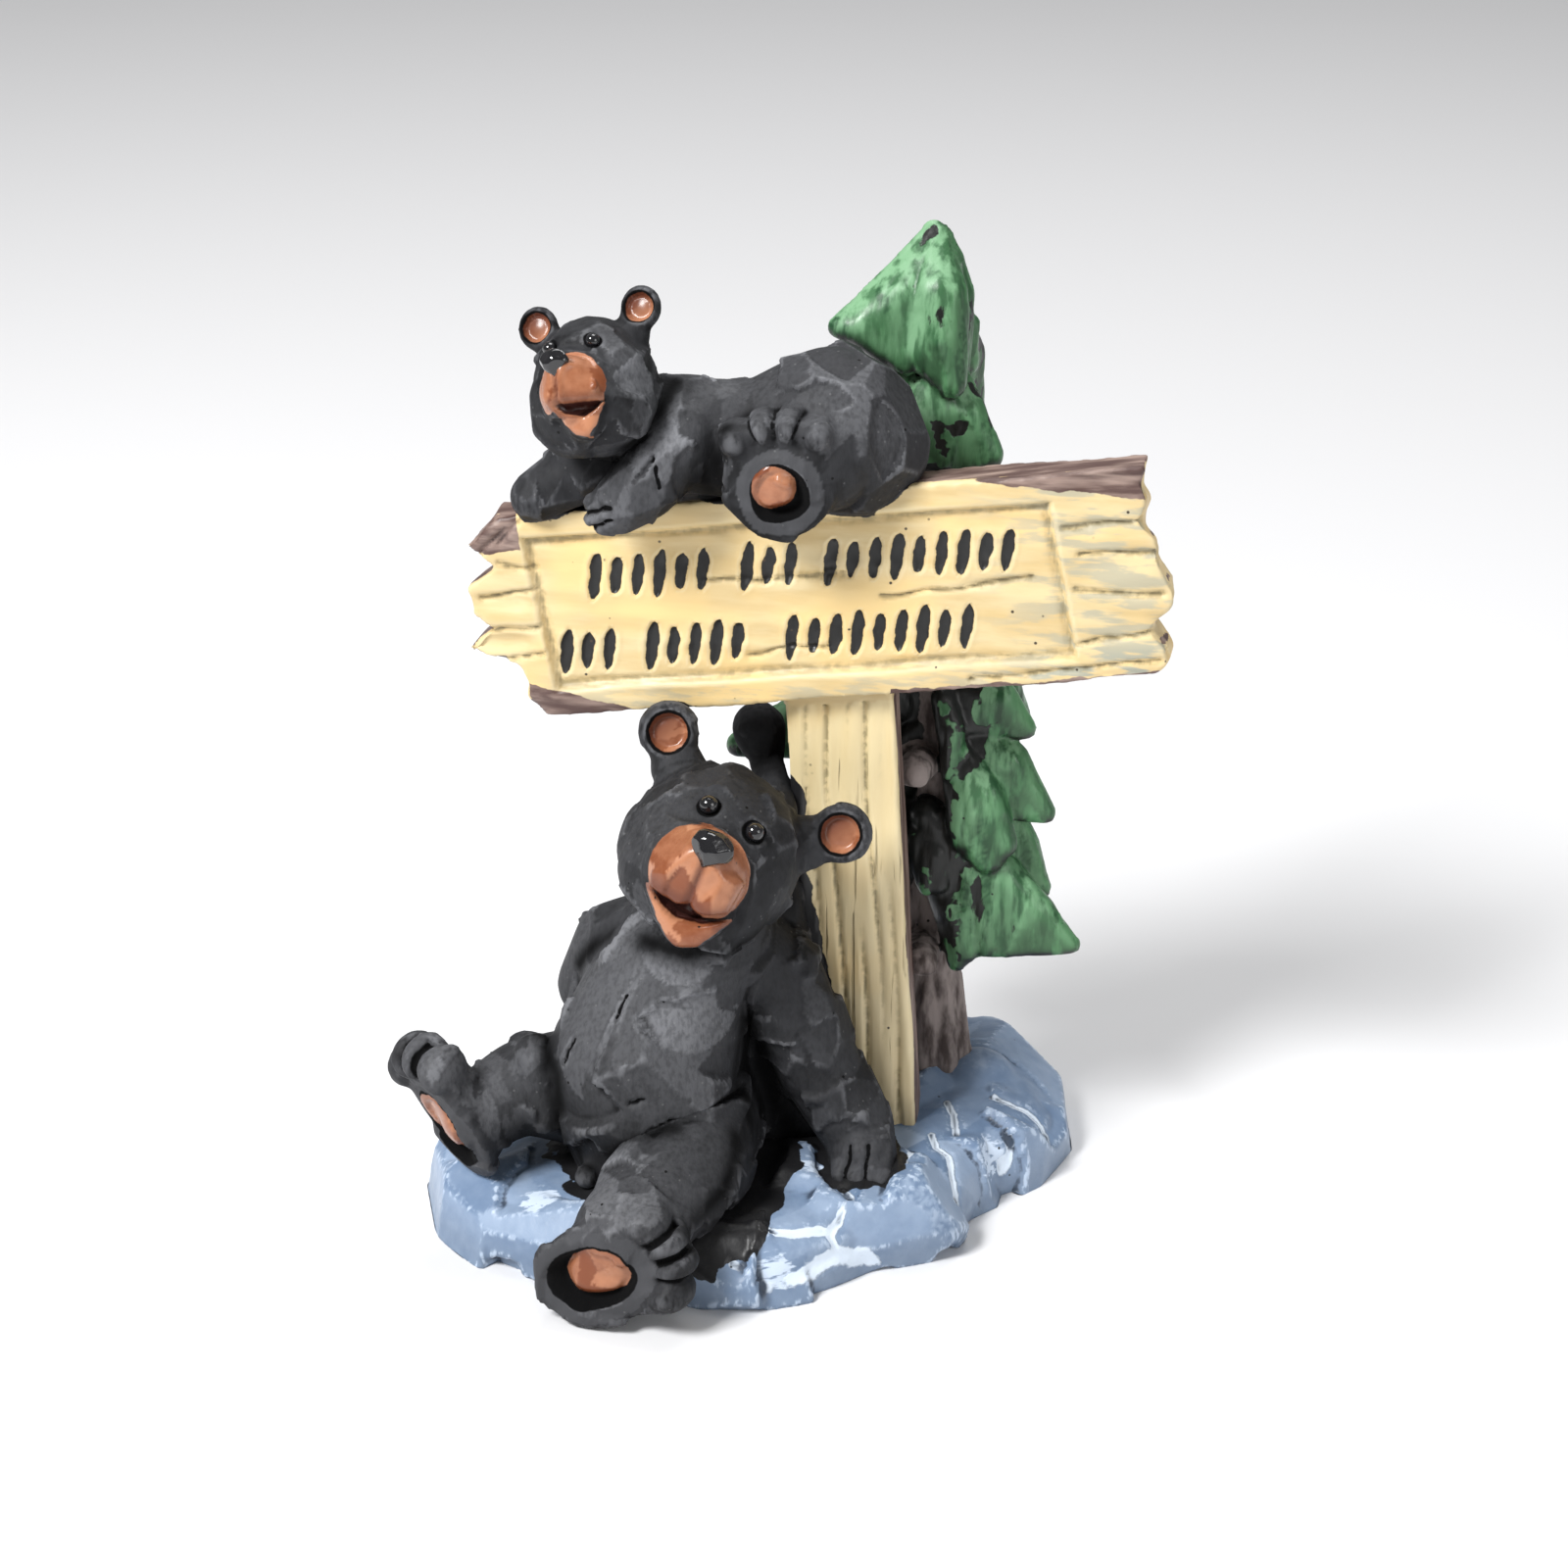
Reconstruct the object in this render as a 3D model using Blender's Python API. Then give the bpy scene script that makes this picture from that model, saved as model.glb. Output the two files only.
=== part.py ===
"""Bear figurine: a carved-look resin ornament, cast in one piece.

A rock base carries a leaning post with a plank sign, a conifer behind it, a bear
lounging against the post and a smaller bear draped over the top of the sign.
Lengths are in millimetres until the finished mesh is scaled to metres.
X runs to the viewer's right, -Y towards the viewer and +Z up. The origin lies on
the flat underside, at the middle of the rock.
"""
import math

import bmesh
import bpy
import numpy as np
from mathutils import Matrix, Vector

MM = 0.001

# Rock base
ROCK_LENGTH = 83.0
ROCK_DEPTH = 63.0
ROCK_HEIGHT = 9.5
ROCK_CENTRE_Y = -5.0

# Post: a plank on end, leaning a little to the left
POST_WIDTH = 13.6
POST_THICKNESS = 8.0
POST_HEIGHT = 68.0
POST_LEAN = math.radians(3.6)
POST_FOOT = (15.5, -3.4)

# Sign: a plank nailed across the post, with broken ends and a sunk panel
SIGN_LENGTH = 84.0
SIGN_HEIGHT = 27.4
SIGN_THICKNESS = 5.6
SIGN_STANDS_PROUD = 2.4
SIGN_YAW = math.radians(8.0)
SIGN_ROLL = math.radians(7.2)
SIGN_CENTRE_LIFT = 7.3
SIGN_CENTRE_SHIFT = -1.9
PANEL_LENGTH = 64.6
PANEL_HEIGHT = 20.0
PANEL_SHIFT = -1.9
PANEL_DEPTH = 0.9
PANEL_SLANT = 1.4

# Rows of plain chisel strokes on the panel, grouped like words
STROKE_HEIGHT = 6.4
STROKE_WIDTH = 1.4
STROKE_DEPTH = 0.6
STROKE_PITCH = 2.7
STROKE_SLANT = math.radians(14.0)
STROKE_ROWS = (
    (4.2, ((-26.8, 6), (-7.8, 3), (2.6, 9))),
    (-5.4, ((-31.8, 3), (-21.0, 5), (-3.4, 9))),
)

# Grooves that the chisel left along the grain of the post
GRAIN_WIDTH = 0.7
GRAIN_DEPTH = 0.5
GRAIN_LINES = (-0.24, 0.02, 0.26, 0.40)

# Conifer behind the post
TREE_HEIGHT = 115.0
TREE_FOOT = (24.2, 9.5)
TRUNK_RADIUS = 4.6
ROOT_RADIUS = 2.3
FROND_THICKNESS = 3.2
STUB_LENGTH = 4.6

# Bears: heights as they sit or lie, and the heights their poses were drawn at
LOUNGER_HEIGHT = 64.0
LOUNGER_DRAWN_HEIGHT = 64.0
CLIMBER_LENGTH = 50.0
CLIMBER_DRAWN_LENGTH = 50.0

# Carving on the bears
TOE_CUT_WIDTH = 0.7
PAD_GROOVE_WIDTH = 1.5

# Mesh
VOXEL = 0.9
SMOOTHING_ROUNDS = 3
FACE_SHARE = 0.0445

TAU = 2.0 * math.pi


def unit_directions():
    """Directions spread evenly over a ball, as the corners of a divided icosahedron."""
    bm = bmesh.new()
    bmesh.ops.create_icosphere(bm, subdivisions=3, radius=1.0)
    directions = [v.co.copy() for v in bm.verts]
    bm.free()
    return directions


DIRECTIONS = unit_directions()


class Clay:
    """Closed shells gathered into one mesh."""

    def __init__(self):
        self.points = []
        self.faces = []

    def take(self, bm):
        """Add a closed shell, with its faces turned outwards."""
        bmesh.ops.recalc_face_normals(bm, faces=bm.faces)
        bm.verts.index_update()
        first = len(self.points)
        self.points += [v.co.copy() for v in bm.verts]
        self.faces += [[first + v.index for v in face.verts] for face in bm.faces]
        bm.free()

    def hull(self, *balls, turn=None):
        """Add the skin stretched over balls, each given by its centre and one or three radii."""
        bm = bmesh.new()
        turn = turn or Matrix.Identity(3)
        for centre, radii in balls:
            radii = radii if isinstance(radii, tuple) else (radii, radii, radii)
            for d in DIRECTIONS:
                offset = Vector((d.x * radii[0], d.y * radii[1], d.z * radii[2]))
                bm.verts.new(Vector(centre) + turn @ offset)
        bmesh.ops.convex_hull(bm, input=bm.verts)
        inner = [v for v in bm.verts if not v.link_faces]
        bmesh.ops.delete(bm, geom=inner, context="VERTS")
        self.take(bm)

    def limb(self, *balls):
        """Add a chain of tapered lengths from ball to ball."""
        for start, end in zip(balls, balls[1:]):
            self.hull(start, end)

    def mesh(self, name):
        """Return the gathered shells as a mesh in metres."""
        mesh = bpy.data.meshes.new(name)
        mesh.from_pydata([p * MM for p in self.points], [], self.faces)
        mesh.update()
        return mesh


def prism(outline, depth, place):
    """Return an outline in a plane, pushed back by a depth and set in place."""
    bm = bmesh.new()
    front = bm.faces.new([bm.verts.new((u, v, 0.0)) for u, v in outline])
    pushed = bmesh.ops.extrude_face_region(bm, geom=[front])
    moved = [v for v in pushed["geom"] if isinstance(v, bmesh.types.BMVert)]
    bmesh.ops.translate(bm, verts=moved, vec=(0.0, 0.0, -depth))
    bmesh.ops.transform(bm, matrix=place, verts=bm.verts)
    return bm


def smooth_ring(points, count):
    """Return a closed curve through the points, as a Catmull-Rom spline."""
    ring = []
    n = len(points)
    steps = count // n
    for i in range(n):
        p0, p1, p2, p3 = (np.array(points[(i + k) % n]) for k in (-1, 0, 1, 2))
        for t in np.arange(steps) / steps:
            ring.append(0.5 * (2 * p1 + (p2 - p0) * t + (2 * p0 - 5 * p1 + 4 * p2 - p3) * t * t
                               + (3 * p1 - p0 - 3 * p2 + p3) * t ** 3))
    return ring


# Rock

# Outline in shares of half the length and half the depth, from the right, anticlockwise
ROCK_OUTLINE = (
    (1.00, 0.26), (0.96, 0.60), (0.80, 0.90), (0.45, 1.00), (0.05, 0.96), (-0.38, 0.86),
    (-0.74, 0.60), (-0.96, 0.28), (-1.00, -0.06), (-0.95, -0.36), (-0.83, -0.62), (-0.60, -0.82),
    (-0.30, -0.94), (-0.02, -1.00), (0.20, -0.92), (0.42, -0.72), (0.62, -0.56), (0.76, -0.22),
    (0.88, -0.10), (0.98, 0.10),
)
# Height and share of the outline of each ring up the rock's side
ROCK_RINGS = ((-0.15, 0.975), (0.30, 1.00), (0.66, 0.965), (0.90, 0.90), (1.0, 0.80))


def rock(clay):
    """A low slab with rounded shoulders, a little domed on top, on a flat underside."""
    bm = bmesh.new()
    ring = smooth_ring(ROCK_OUTLINE, 60)
    loops = []
    for height, share in ROCK_RINGS:
        loops.append([bm.verts.new((x * share * ROCK_LENGTH / 2,
                                    ROCK_CENTRE_Y + y * share * ROCK_DEPTH / 2,
                                    height * ROCK_HEIGHT)) for x, y in ring])
    for low, high in zip(loops, loops[1:]):
        for i in range(len(ring)):
            j = (i + 1) % len(ring)
            bm.faces.new((low[i], low[j], high[j], high[i]))
    bm.faces.new(loops[0])
    crown = bm.verts.new((0.0, ROCK_CENTRE_Y, 1.06 * ROCK_HEIGHT))
    for i in range(len(ring)):
        bm.faces.new((loops[-1][i], loops[-1][(i + 1) % len(ring)], crown))
    clay.take(bm)


# Post and sign

def post_place():
    """Frame of the post's front face: u across it, v up it, and w out of it, foot at the rock's top."""
    lean = Matrix.Rotation(-POST_LEAN, 4, "Y")
    yaw = Matrix.Rotation(-SIGN_YAW, 4, "Z")
    stand = Matrix.Rotation(math.radians(90.0), 4, "X")
    foot = Matrix.Translation((POST_FOOT[0], POST_FOOT[1], ROCK_HEIGHT))
    out = Matrix.Translation((0.0, 0.0, POST_THICKNESS / 2))
    return foot @ lean @ yaw @ stand @ out


def sign_place():
    """Frame of the sign's front face: u along the plank, v across it and w out of it."""
    top = post_place() @ Vector((SIGN_CENTRE_SHIFT, POST_HEIGHT + SIGN_CENTRE_LIFT, SIGN_STANDS_PROUD))
    yaw = Matrix.Rotation(-SIGN_YAW, 4, "Z")
    stand = Matrix.Rotation(math.radians(90.0), 4, "X")
    roll = Matrix.Rotation(SIGN_ROLL, 4, "Z")
    return Matrix.Translation(top) @ yaw @ stand @ roll


# Broken ends: share of the half height, and reach past the plank's length
LEFT_SPLINTERS = (
    (-1.00, -12.6), (-0.98, -6.6), (-0.81, -4.6), (-0.66, -4.7), (-0.47, -3.6), (-0.39, -0.8),
    (-0.29, 1.5), (-0.10, -1.9), (0.05, 1.3), (0.32, 0.7), (0.47, -3.1), (0.70, 0.2), (0.84, -2.2),
    (0.97, -4.2),
)
RIGHT_SPLINTERS = (
    (0.99, -0.4), (0.66, -0.5), (0.48, -1.4), (0.24, 0.3), (0.03, 0.8), (-0.16, 1.2), (-0.38, 0.6),
    (-0.52, -0.9), (-0.71, 0.5), (-0.85, 0.1), (-0.96, -1.6),
)


def sign_outline():
    """The plank's outline, anticlockwise, with its two broken ends."""
    half = SIGN_LENGTH / 2
    rise = SIGN_HEIGHT / 2
    left = [(-half - reach, share * rise) for share, reach in reversed(LEFT_SPLINTERS)]
    right = [(half + reach, share * rise) for share, reach in reversed(RIGHT_SPLINTERS)]
    return left + right


def plank(bm, width):
    """Chamfer the long edges of a plank made by prism."""
    edges = [e for e in bm.edges if e.calc_length() > SIGN_HEIGHT / 3]
    bmesh.ops.bevel(bm, geom=edges, offset=width, segments=2, affect="EDGES", profile=0.6)
    return bm


def post_and_sign():
    """The post runs from inside the rock to behind the sign, and both are one timber body."""
    timber = Clay()
    half = POST_WIDTH / 2
    root = -ROCK_HEIGHT * 0.6
    sides = [(-half, root), (half, root), (half, POST_HEIGHT), (-half, POST_HEIGHT)]
    timber.take(plank(prism(sides, POST_THICKNESS, post_place()), 0.7))
    timber.take(plank(prism(sign_outline(), SIGN_THICKNESS, sign_place()), 0.6))
    return timber


def flat_underside(cuts):
    """Everything below the ground plane is sawn off."""
    half = max(ROCK_LENGTH, ROCK_DEPTH)
    cuts.take(prism([(-half, -half), (half, -half), (half, half), (-half, half)], ROCK_HEIGHT,
                    Matrix.Identity(4)))


def timber_cuts(cuts):
    """The sunk panel, the rows of strokes and the grain grooves."""
    place = sign_place()
    u0 = PANEL_SHIFT - PANEL_LENGTH / 2
    u1 = PANEL_SHIFT + PANEL_LENGTH / 2
    rise = PANEL_HEIGHT / 2
    panel = [(u0, -rise), (u1 + PANEL_SLANT / 2, -rise), (u1 - PANEL_SLANT / 2, rise),
             (u0 + PANEL_SLANT, rise)]
    above = Matrix.Translation((0.0, 0.0, 1.0))
    cuts.take(prism(panel, 1.0 + PANEL_DEPTH, place @ above))
    floor = place @ Matrix.Translation((0.0, 0.0, -PANEL_DEPTH + 0.3))
    for v_mid, groups in STROKE_ROWS:
        for u_first, count in groups:
            for k in range(count):
                tall = STROKE_HEIGHT * (1.0 - 0.22 * ((k * 2) % 3) / 2)
                tilt = Matrix.Rotation(-STROKE_SLANT, 4, "Z")
                spot = floor @ Matrix.Translation((u_first + k * STROKE_PITCH, v_mid, 0.0)) @ tilt
                half = STROKE_WIDTH / 2
                lens = [(0.0, -tall / 2), (half, -tall / 5), (half, tall / 5), (0.0, tall / 2),
                        (-half, tall / 5), (-half, -tall / 5)]
                cuts.take(prism(lens, STROKE_DEPTH + 0.3, spot))
    front = post_place() @ Matrix.Translation((0.0, 0.0, 0.4))
    half = GRAIN_WIDTH / 2
    for share in GRAIN_LINES:
        u = share * POST_WIDTH
        line = [(u - half, 0.12 * POST_HEIGHT), (u + half, 0.12 * POST_HEIGHT),
                (u + half, 0.84 * POST_HEIGHT), (u - half, 0.84 * POST_HEIGHT)]
        cuts.take(prism(line, 0.4 + GRAIN_DEPTH, front))


# Conifer

# Fronds that face the viewer: height share of the root, bearing in degrees, reach, droop, half width
FRONT_FRONDS = (
    (0.975, -70.0, 6.5, 20.0, 3.6), (0.965, -158.0, 14.5, 18.5, 3.6), (0.965, -12.0, 3.6, 18.0, 3.2),
    (0.87, -70.0, 8.0, 17.0, 3.4), (0.87, -15.0, 9.8, 20.5, 3.8), (0.60, -2.0, 12.8, 14.0, 3.4),
    (0.53, -6.0, 16.4, 19.5, 4.0), (0.52, -76.0, 9.0, 19.0, 2.6), (0.47, -42.0, 15.5, 22.0, 4.2),
    (0.40, 12.0, 16.0, 17.5, 3.6), (0.36, -80.0, 11.5, 17.0, 3.2), (0.33, -12.0, 20.5, 19.0, 5.4),
    (0.32, -46.0, 14.5, 20.0, 5.2),
)
# Tiers of fronds round the back: height share of the root, reach and droop, and how many each has
BACK_TIERS = (
    (0.93, 9.0, 17.0), (0.80, 12.0, 17.0), (0.66, 15.0, 17.0), (0.54, 17.0, 16.0), (0.44, 18.5, 15.0),
    (0.335, 19.5, 15.0),
)
BACK_COUNTS = (3, 4, 4, 5, 5, 5)
BACK_FROM = math.radians(28.0)
BACK_TO = math.radians(205.0)


def frond(clay, root, bearing, reach, droop, half_width):
    """A drooping tongue: thick at the trunk, widest past its middle, and narrow at its tip."""
    out = Vector((math.cos(bearing), math.sin(bearing), 0.0))
    side = Vector((-out.y, out.x, 0.0))
    turn = Matrix((out, side, Vector((0.0, 0.0, 1.0)))).transposed()
    thick = FROND_THICKNESS
    down = Vector((0.0, 0.0, droop))
    shoulder = root + out * reach * 0.62 - down * 0.50
    tip = root + out * (reach - 1.0) - down
    inner = root + out * TRUNK_RADIUS * 0.4 - down * 0.60
    clay.hull((root, (thick, thick * 1.1, thick)), (shoulder, (thick * 0.7, half_width, thick * 0.9)),
              (tip, 1.0), (inner, thick * 0.8), turn=turn)


def tree(clay):
    """A fluted trunk with spreading roots and broken stubs, under tiers of drooping fronds."""
    x, y = TREE_FOOT
    crown = ROCK_HEIGHT + TREE_HEIGHT
    clay.limb(((x, y, ROCK_HEIGHT * 0.8), TRUNK_RADIUS * 1.25), ((x, y, ROCK_HEIGHT + 14.0), TRUNK_RADIUS),
              ((x, y, ROCK_HEIGHT + 0.60 * TREE_HEIGHT), TRUNK_RADIUS * 0.7),
              ((x - 0.6, y, crown - 8.0), 2.6), ((x - 1.0, y, crown - 1.2), 1.2))
    for k in range(7):
        bearing = TAU * k / 7 + 0.35
        out = Vector((math.cos(bearing), math.sin(bearing), 0.0))
        foot = Vector((x, y, ROCK_HEIGHT - 0.5)) + out * TRUNK_RADIUS * 1.25
        knee = Vector((x, y, ROCK_HEIGHT + 9.0)) + out * TRUNK_RADIUS * 0.65
        clay.hull((foot, ROOT_RADIUS), (knee, ROOT_RADIUS * 0.8))
    for height, bearing in ((47.0, -1.9), (12.5, -1.8)):
        start = Vector((x, y, ROCK_HEIGHT + height))
        out = Vector((math.cos(bearing), math.sin(bearing), 0.25))
        clay.hull((start, 2.4), (start + out * (TRUNK_RADIUS + STUB_LENGTH), 1.9))
    for share, bearing, reach, droop, half_width in FRONT_FRONDS:
        root = Vector((x - 0.6, y, ROCK_HEIGHT + share * TREE_HEIGHT))
        frond(clay, root, math.radians(bearing), reach, droop, half_width)
    for (share, reach, droop), count in zip(BACK_TIERS, BACK_COUNTS):
        root = Vector((x - 0.6, y, ROCK_HEIGHT + share * TREE_HEIGHT))
        for k in range(count):
            bearing = BACK_FROM + (BACK_TO - BACK_FROM) * (k + 0.5 + 0.2 * math.sin(9.0 * share)) / count
            frond(clay, root, bearing, reach * (1.0 + 0.08 * math.sin(2.3 * k)), droop, reach * 0.32)


# Bears

def facing(roll, yaw, pitch):
    """Axes of a head: its right, its front and its up, from a head that looks at the viewer."""
    look = Matrix((Vector((1.0, 0.0, 0.0)), Vector((0.0, -1.0, 0.0)), Vector((0.0, 0.0, 1.0)))).transposed()
    turned = (Matrix.Rotation(math.radians(yaw), 3, "Z") @ Matrix.Rotation(math.radians(roll), 3, "Y")
              @ Matrix.Rotation(math.radians(-pitch), 3, "X"))
    return turned @ look


def head(clay, cuts, centre, radius, axes, slim, ear_place, gape):
    """A round head with a short muzzle, a parted mouth and two cupped ears, in shares of its radius."""
    centre = Vector(centre)

    def at(right, front, up):
        return centre + axes @ Vector((right * slim, front, up)) * radius

    def size(right, front, up):
        return (right * slim * radius, front * radius, up * radius)

    clay.hull((at(0.0, 0.0, 0.0), size(1.0, 0.97, 0.98)), turn=axes)
    clay.hull((at(-0.36, 0.32, -0.34), 0.62 * radius), (at(0.40, 0.32, -0.34), 0.62 * radius))
    clay.hull((at(-0.10, 0.82, -0.16), 0.52 * radius), (at(0.10, 0.82, -0.16), 0.52 * radius),
              (at(0.0, 1.00, 0.0), 0.34 * radius))
    clay.hull((at(0.08, 0.66, -0.56), 0.34 * radius), (at(0.15, 0.98, -0.60 - gape * 0.1), 0.25 * radius))
    clay.hull((at(0.0, 1.30, 0.24), size(0.19, 0.12, 0.14)), turn=axes)
    for side in (-1.0, 1.0):
        clay.hull((at(side * 0.29, 0.78, 0.54), 0.12 * radius))
        clay.hull((at(side * ear_place[0], -0.08, ear_place[1]), size(0.33, 0.20, 0.33)), turn=axes)
        clay.hull((at(side * ear_place[0] * 0.74, -0.10, ear_place[1] * 0.68), size(0.30, 0.24, 0.30)),
                  turn=axes)
        cup = Clay()
        cup.hull((at(side * ear_place[0], 0.18, ear_place[1]), size(0.22, 0.20, 0.22)), turn=axes)
        merge(cuts, cup)
    mouth = Clay()
    mouth.hull((at(-0.24, 1.30, -0.36), size(0.05, 0.18, 0.05)),
               (at(0.08, 1.28, -0.52 - gape * 0.06), size(0.12, 0.22, 0.05 + gape * 0.10)),
               (at(0.36, 1.22, -0.40), size(0.05, 0.18, 0.05)), turn=axes)
    merge(cuts, mouth)


def merge(clay, other):
    """Move another gathering of shells into this one."""
    first = len(clay.points)
    clay.points += other.points
    clay.faces += [[first + i for i in face] for face in other.faces]


def across(normal, up):
    """Axes of a sole or a paw: its side, its outward normal and its toe end."""
    front = Vector(normal).normalized()
    toe = (Vector(up) - front * Vector(up).dot(front)).normalized()
    return Matrix((front.cross(toe), front, toe)).transposed()


def foot(clay, cuts, centre, normal, toe_way, width, length):
    """A round sole with a groove around its pad, and four toes parted by chisel cuts."""
    axes = across(normal, toe_way)
    centre = Vector(centre)
    clay.hull((centre - axes.col[1] * width * 0.07, (width * 0.46, width * 0.07, length * 0.48)),
              (centre - axes.col[1] * width * 0.30, (width * 0.40, width * 0.16, length * 0.42)), turn=axes)
    for k in range(4):
        spread = (k - 1.5) / 1.5
        toe = centre + axes @ Vector((spread * width * 0.32, -width * 0.18,
                                      length * (0.42 - 0.09 * spread * spread)))
        clay.hull((toe, (width * 0.15, width * 0.26, length * 0.15)), turn=axes)
    ring = bmesh.new()
    rounds = 20
    loops = []
    for i in range(rounds):
        angle = TAU * i / rounds
        mid = Vector((math.cos(angle) * width * 0.29, 0.0, math.sin(angle) * length * 0.30 - length * 0.03))
        across_ring = Vector((math.cos(angle), 0.0, math.sin(angle)))
        loop = []
        for j in range(6):
            turn = TAU * j / 6
            out = across_ring * math.cos(turn) * PAD_GROOVE_WIDTH / 2
            deep = Vector((0.0, math.sin(turn) * PAD_GROOVE_WIDTH * 0.75, 0.0))
            loop.append(ring.verts.new(centre + axes @ (mid + out + deep)))
        loops.append(loop)
    for i in range(rounds):
        for j in range(6):
            k = (j + 1) % 6
            following = loops[(i + 1) % rounds]
            ring.faces.new((loops[i][j], loops[i][k], following[k], following[j]))
    cuts.take(ring)
    for k in range(3):
        spread = (k - 1.0) * 0.42
        spot = centre + axes @ Vector((spread * width * 0.5, -width * 0.05, length * (0.50 - 0.10 * spread ** 2)))
        cuts.hull((spot, (TOE_CUT_WIDTH / 2, width * 0.22, length * 0.13)), turn=axes)


def lounging_bear(clay, cuts):
    """The larger bear sits back against the post, legs spread, one arm propped on the rock."""
    scale = LOUNGER_HEIGHT / LOUNGER_DRAWN_HEIGHT
    seat = Vector((POST_FOOT[0], POST_FOOT[1], ROCK_HEIGHT))

    def at(x, y, z):
        return seat + Vector((x, y, z)) * scale

    clay.hull((at(-28.2, -10.5, 3.5), 11.3 * scale), (at(-28.8, -13.0, 15.0), 12.4 * scale),
              (at(-25.0, -11.0, 26.0), 10.2 * scale))
    clay.hull((at(-25.0, -11.0, 26.0), 10.2 * scale), (at(-20.0, -11.5, 33.0), 7.8 * scale))
    clay.limb((at(-16.0, -9.5, 29.0), 5.8 * scale), (at(-11.6, -9.1, 24.5), 5.8 * scale),
              (at(-6.6, -9.6, 12.1), 5.5 * scale), (at(-2.4, -10.6, 4.6), 5.0 * scale))
    clay.hull((at(-1.4, -11.6, 2.0), 4.7 * scale), (at(-1.0, -14.8, 0.8), 4.0 * scale))
    clay.limb((at(-28.6, -7.0, 29.0), 6.0 * scale), (at(-32.8, -5.0, 27.6), 5.0 * scale),
              (at(-35.4, -1.5, 19.5), 5.0 * scale), (at(-31.0, 7.0, 3.0), 4.6 * scale))
    clay.limb((at(-22.5, -13.0, 5.5), 8.8 * scale), (at(-22.6, -22.0, 5.2), 7.6 * scale),
              (at(-30.6, -33.0, 1.2), 6.6 * scale))
    clay.limb((at(-37.0, -9.0, 8.5), 8.0 * scale), (at(-44.0, -12.5, 10.5), 6.2 * scale),
              (at(-50.0, -16.0, 8.6), 5.2 * scale))
    clay.hull((at(-15.0, -5.5, 25.0), 4.5 * scale), (at(-18.0, -5.0, 4.0), 6.0 * scale),
              (at(-8.0, -4.5, 3.0), 4.5 * scale), (at(-12.0, -4.0, 34.0), 3.0 * scale))
    clay.hull((at(-42.5, -15.0, 16.5), 2.7 * scale), (at(-41.5, -15.5, 9.0), 3.2 * scale))
    clay.hull((at(-36.0, -20.0, 1.6), 1.5 * scale), (at(-33.0, -17.0, 2.0), 1.8 * scale))
    foot(clay, cuts, at(-33.2, -38.4, -1.4), (-0.28, -0.94, 0.12), (0.93, 0.0, 0.34),
         15.0 * scale, 20.5 * scale)
    foot(clay, cuts, at(-54.4, -18.0, 8.8), (-0.69, -0.62, -0.38), (-0.49, 0.0, 0.87),
         13.5 * scale, 20.5 * scale)
    head(clay, cuts, at(-19.8, -14.1, 44.2), 11.7 * scale, facing(27.0, -15.0, 23.5), 1.0,
         (1.06, 0.88), 0.5)


def climbing_bear(clay, cuts):
    """The smaller bear lies along the top of the sign, with one foot and one paw over its face."""
    scale = CLIMBER_LENGTH / CLIMBER_DRAWN_LENGTH
    perch = sign_place() @ Matrix.Translation((0.0, SIGN_HEIGHT / 2, -SIGN_THICKNESS / 2))

    def at(along, up, out):
        return perch @ (Vector((along, up, out)) * scale)

    clay.hull((at(4.8, 6.3, -1.0), 9.5 * scale), (at(5.8, 4.8, -1.0), 9.0 * scale),
              (at(-4.0, 5.8, -0.6), 7.6 * scale))
    clay.hull((at(-4.0, 5.8, -0.6), 7.6 * scale), (at(-12.0, 7.0, 0.6), 7.0 * scale),
              (at(-17.0, 9.5, 2.4), 6.0 * scale))
    clay.limb((at(4.0, 5.0, 3.5), 7.2 * scale), (at(-0.4, 4.2, 6.5), 6.0 * scale))
    clay.limb((at(-12.5, 8.6, 4.0), 5.2 * scale), (at(-17.7, 3.6, 7.2), 4.2 * scale),
              (at(-21.4, 1.9, 7.6), 3.2 * scale), (at(-23.0, 0.6, 8.4), 2.3 * scale))
    clay.limb((at(-19.0, 6.0, 0.0), 5.0 * scale), (at(-27.8, 3.4, 0.6), 4.0 * scale),
              (at(-32.4, 1.6, 2.0), 2.8 * scale))
    foot(clay, cuts, at(-0.8, 4.2, 11.2), (-0.12, -0.98, 0.06), (-0.1, 0.0, 1.0),
         15.2 * scale, 15.2 * scale)
    head(clay, cuts, at(-22.2, 15.5, 5.0), 8.5 * scale, facing(-15.5, -13.5, 26.0), 0.93,
         (0.84, 1.02), 1.0)


# Assembly

def painted(name, colour, roughness):
    """A plain painted finish for the casting."""
    material = bpy.data.materials.new(name)
    material.use_nodes = True
    shader = material.node_tree.nodes["Principled BSDF"]
    shader.inputs["Base Color"].default_value = (*colour, 1.0)
    shader.inputs["Roughness"].default_value = roughness
    shader.inputs["Metallic"].default_value = 0.0
    return material


def place_object(name, mesh):
    """Put a mesh into the scene as a named object."""
    obj = bpy.data.objects.new(name, mesh)
    bpy.context.scene.collection.objects.link(obj)
    return obj


def tool_object(name, mesh):
    """Put a mesh into the scene as a cutter or a guide, which isn't part of the model."""
    obj = place_object(name, mesh)
    obj.display_type = "WIRE"
    obj.hide_render = True
    return obj


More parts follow.
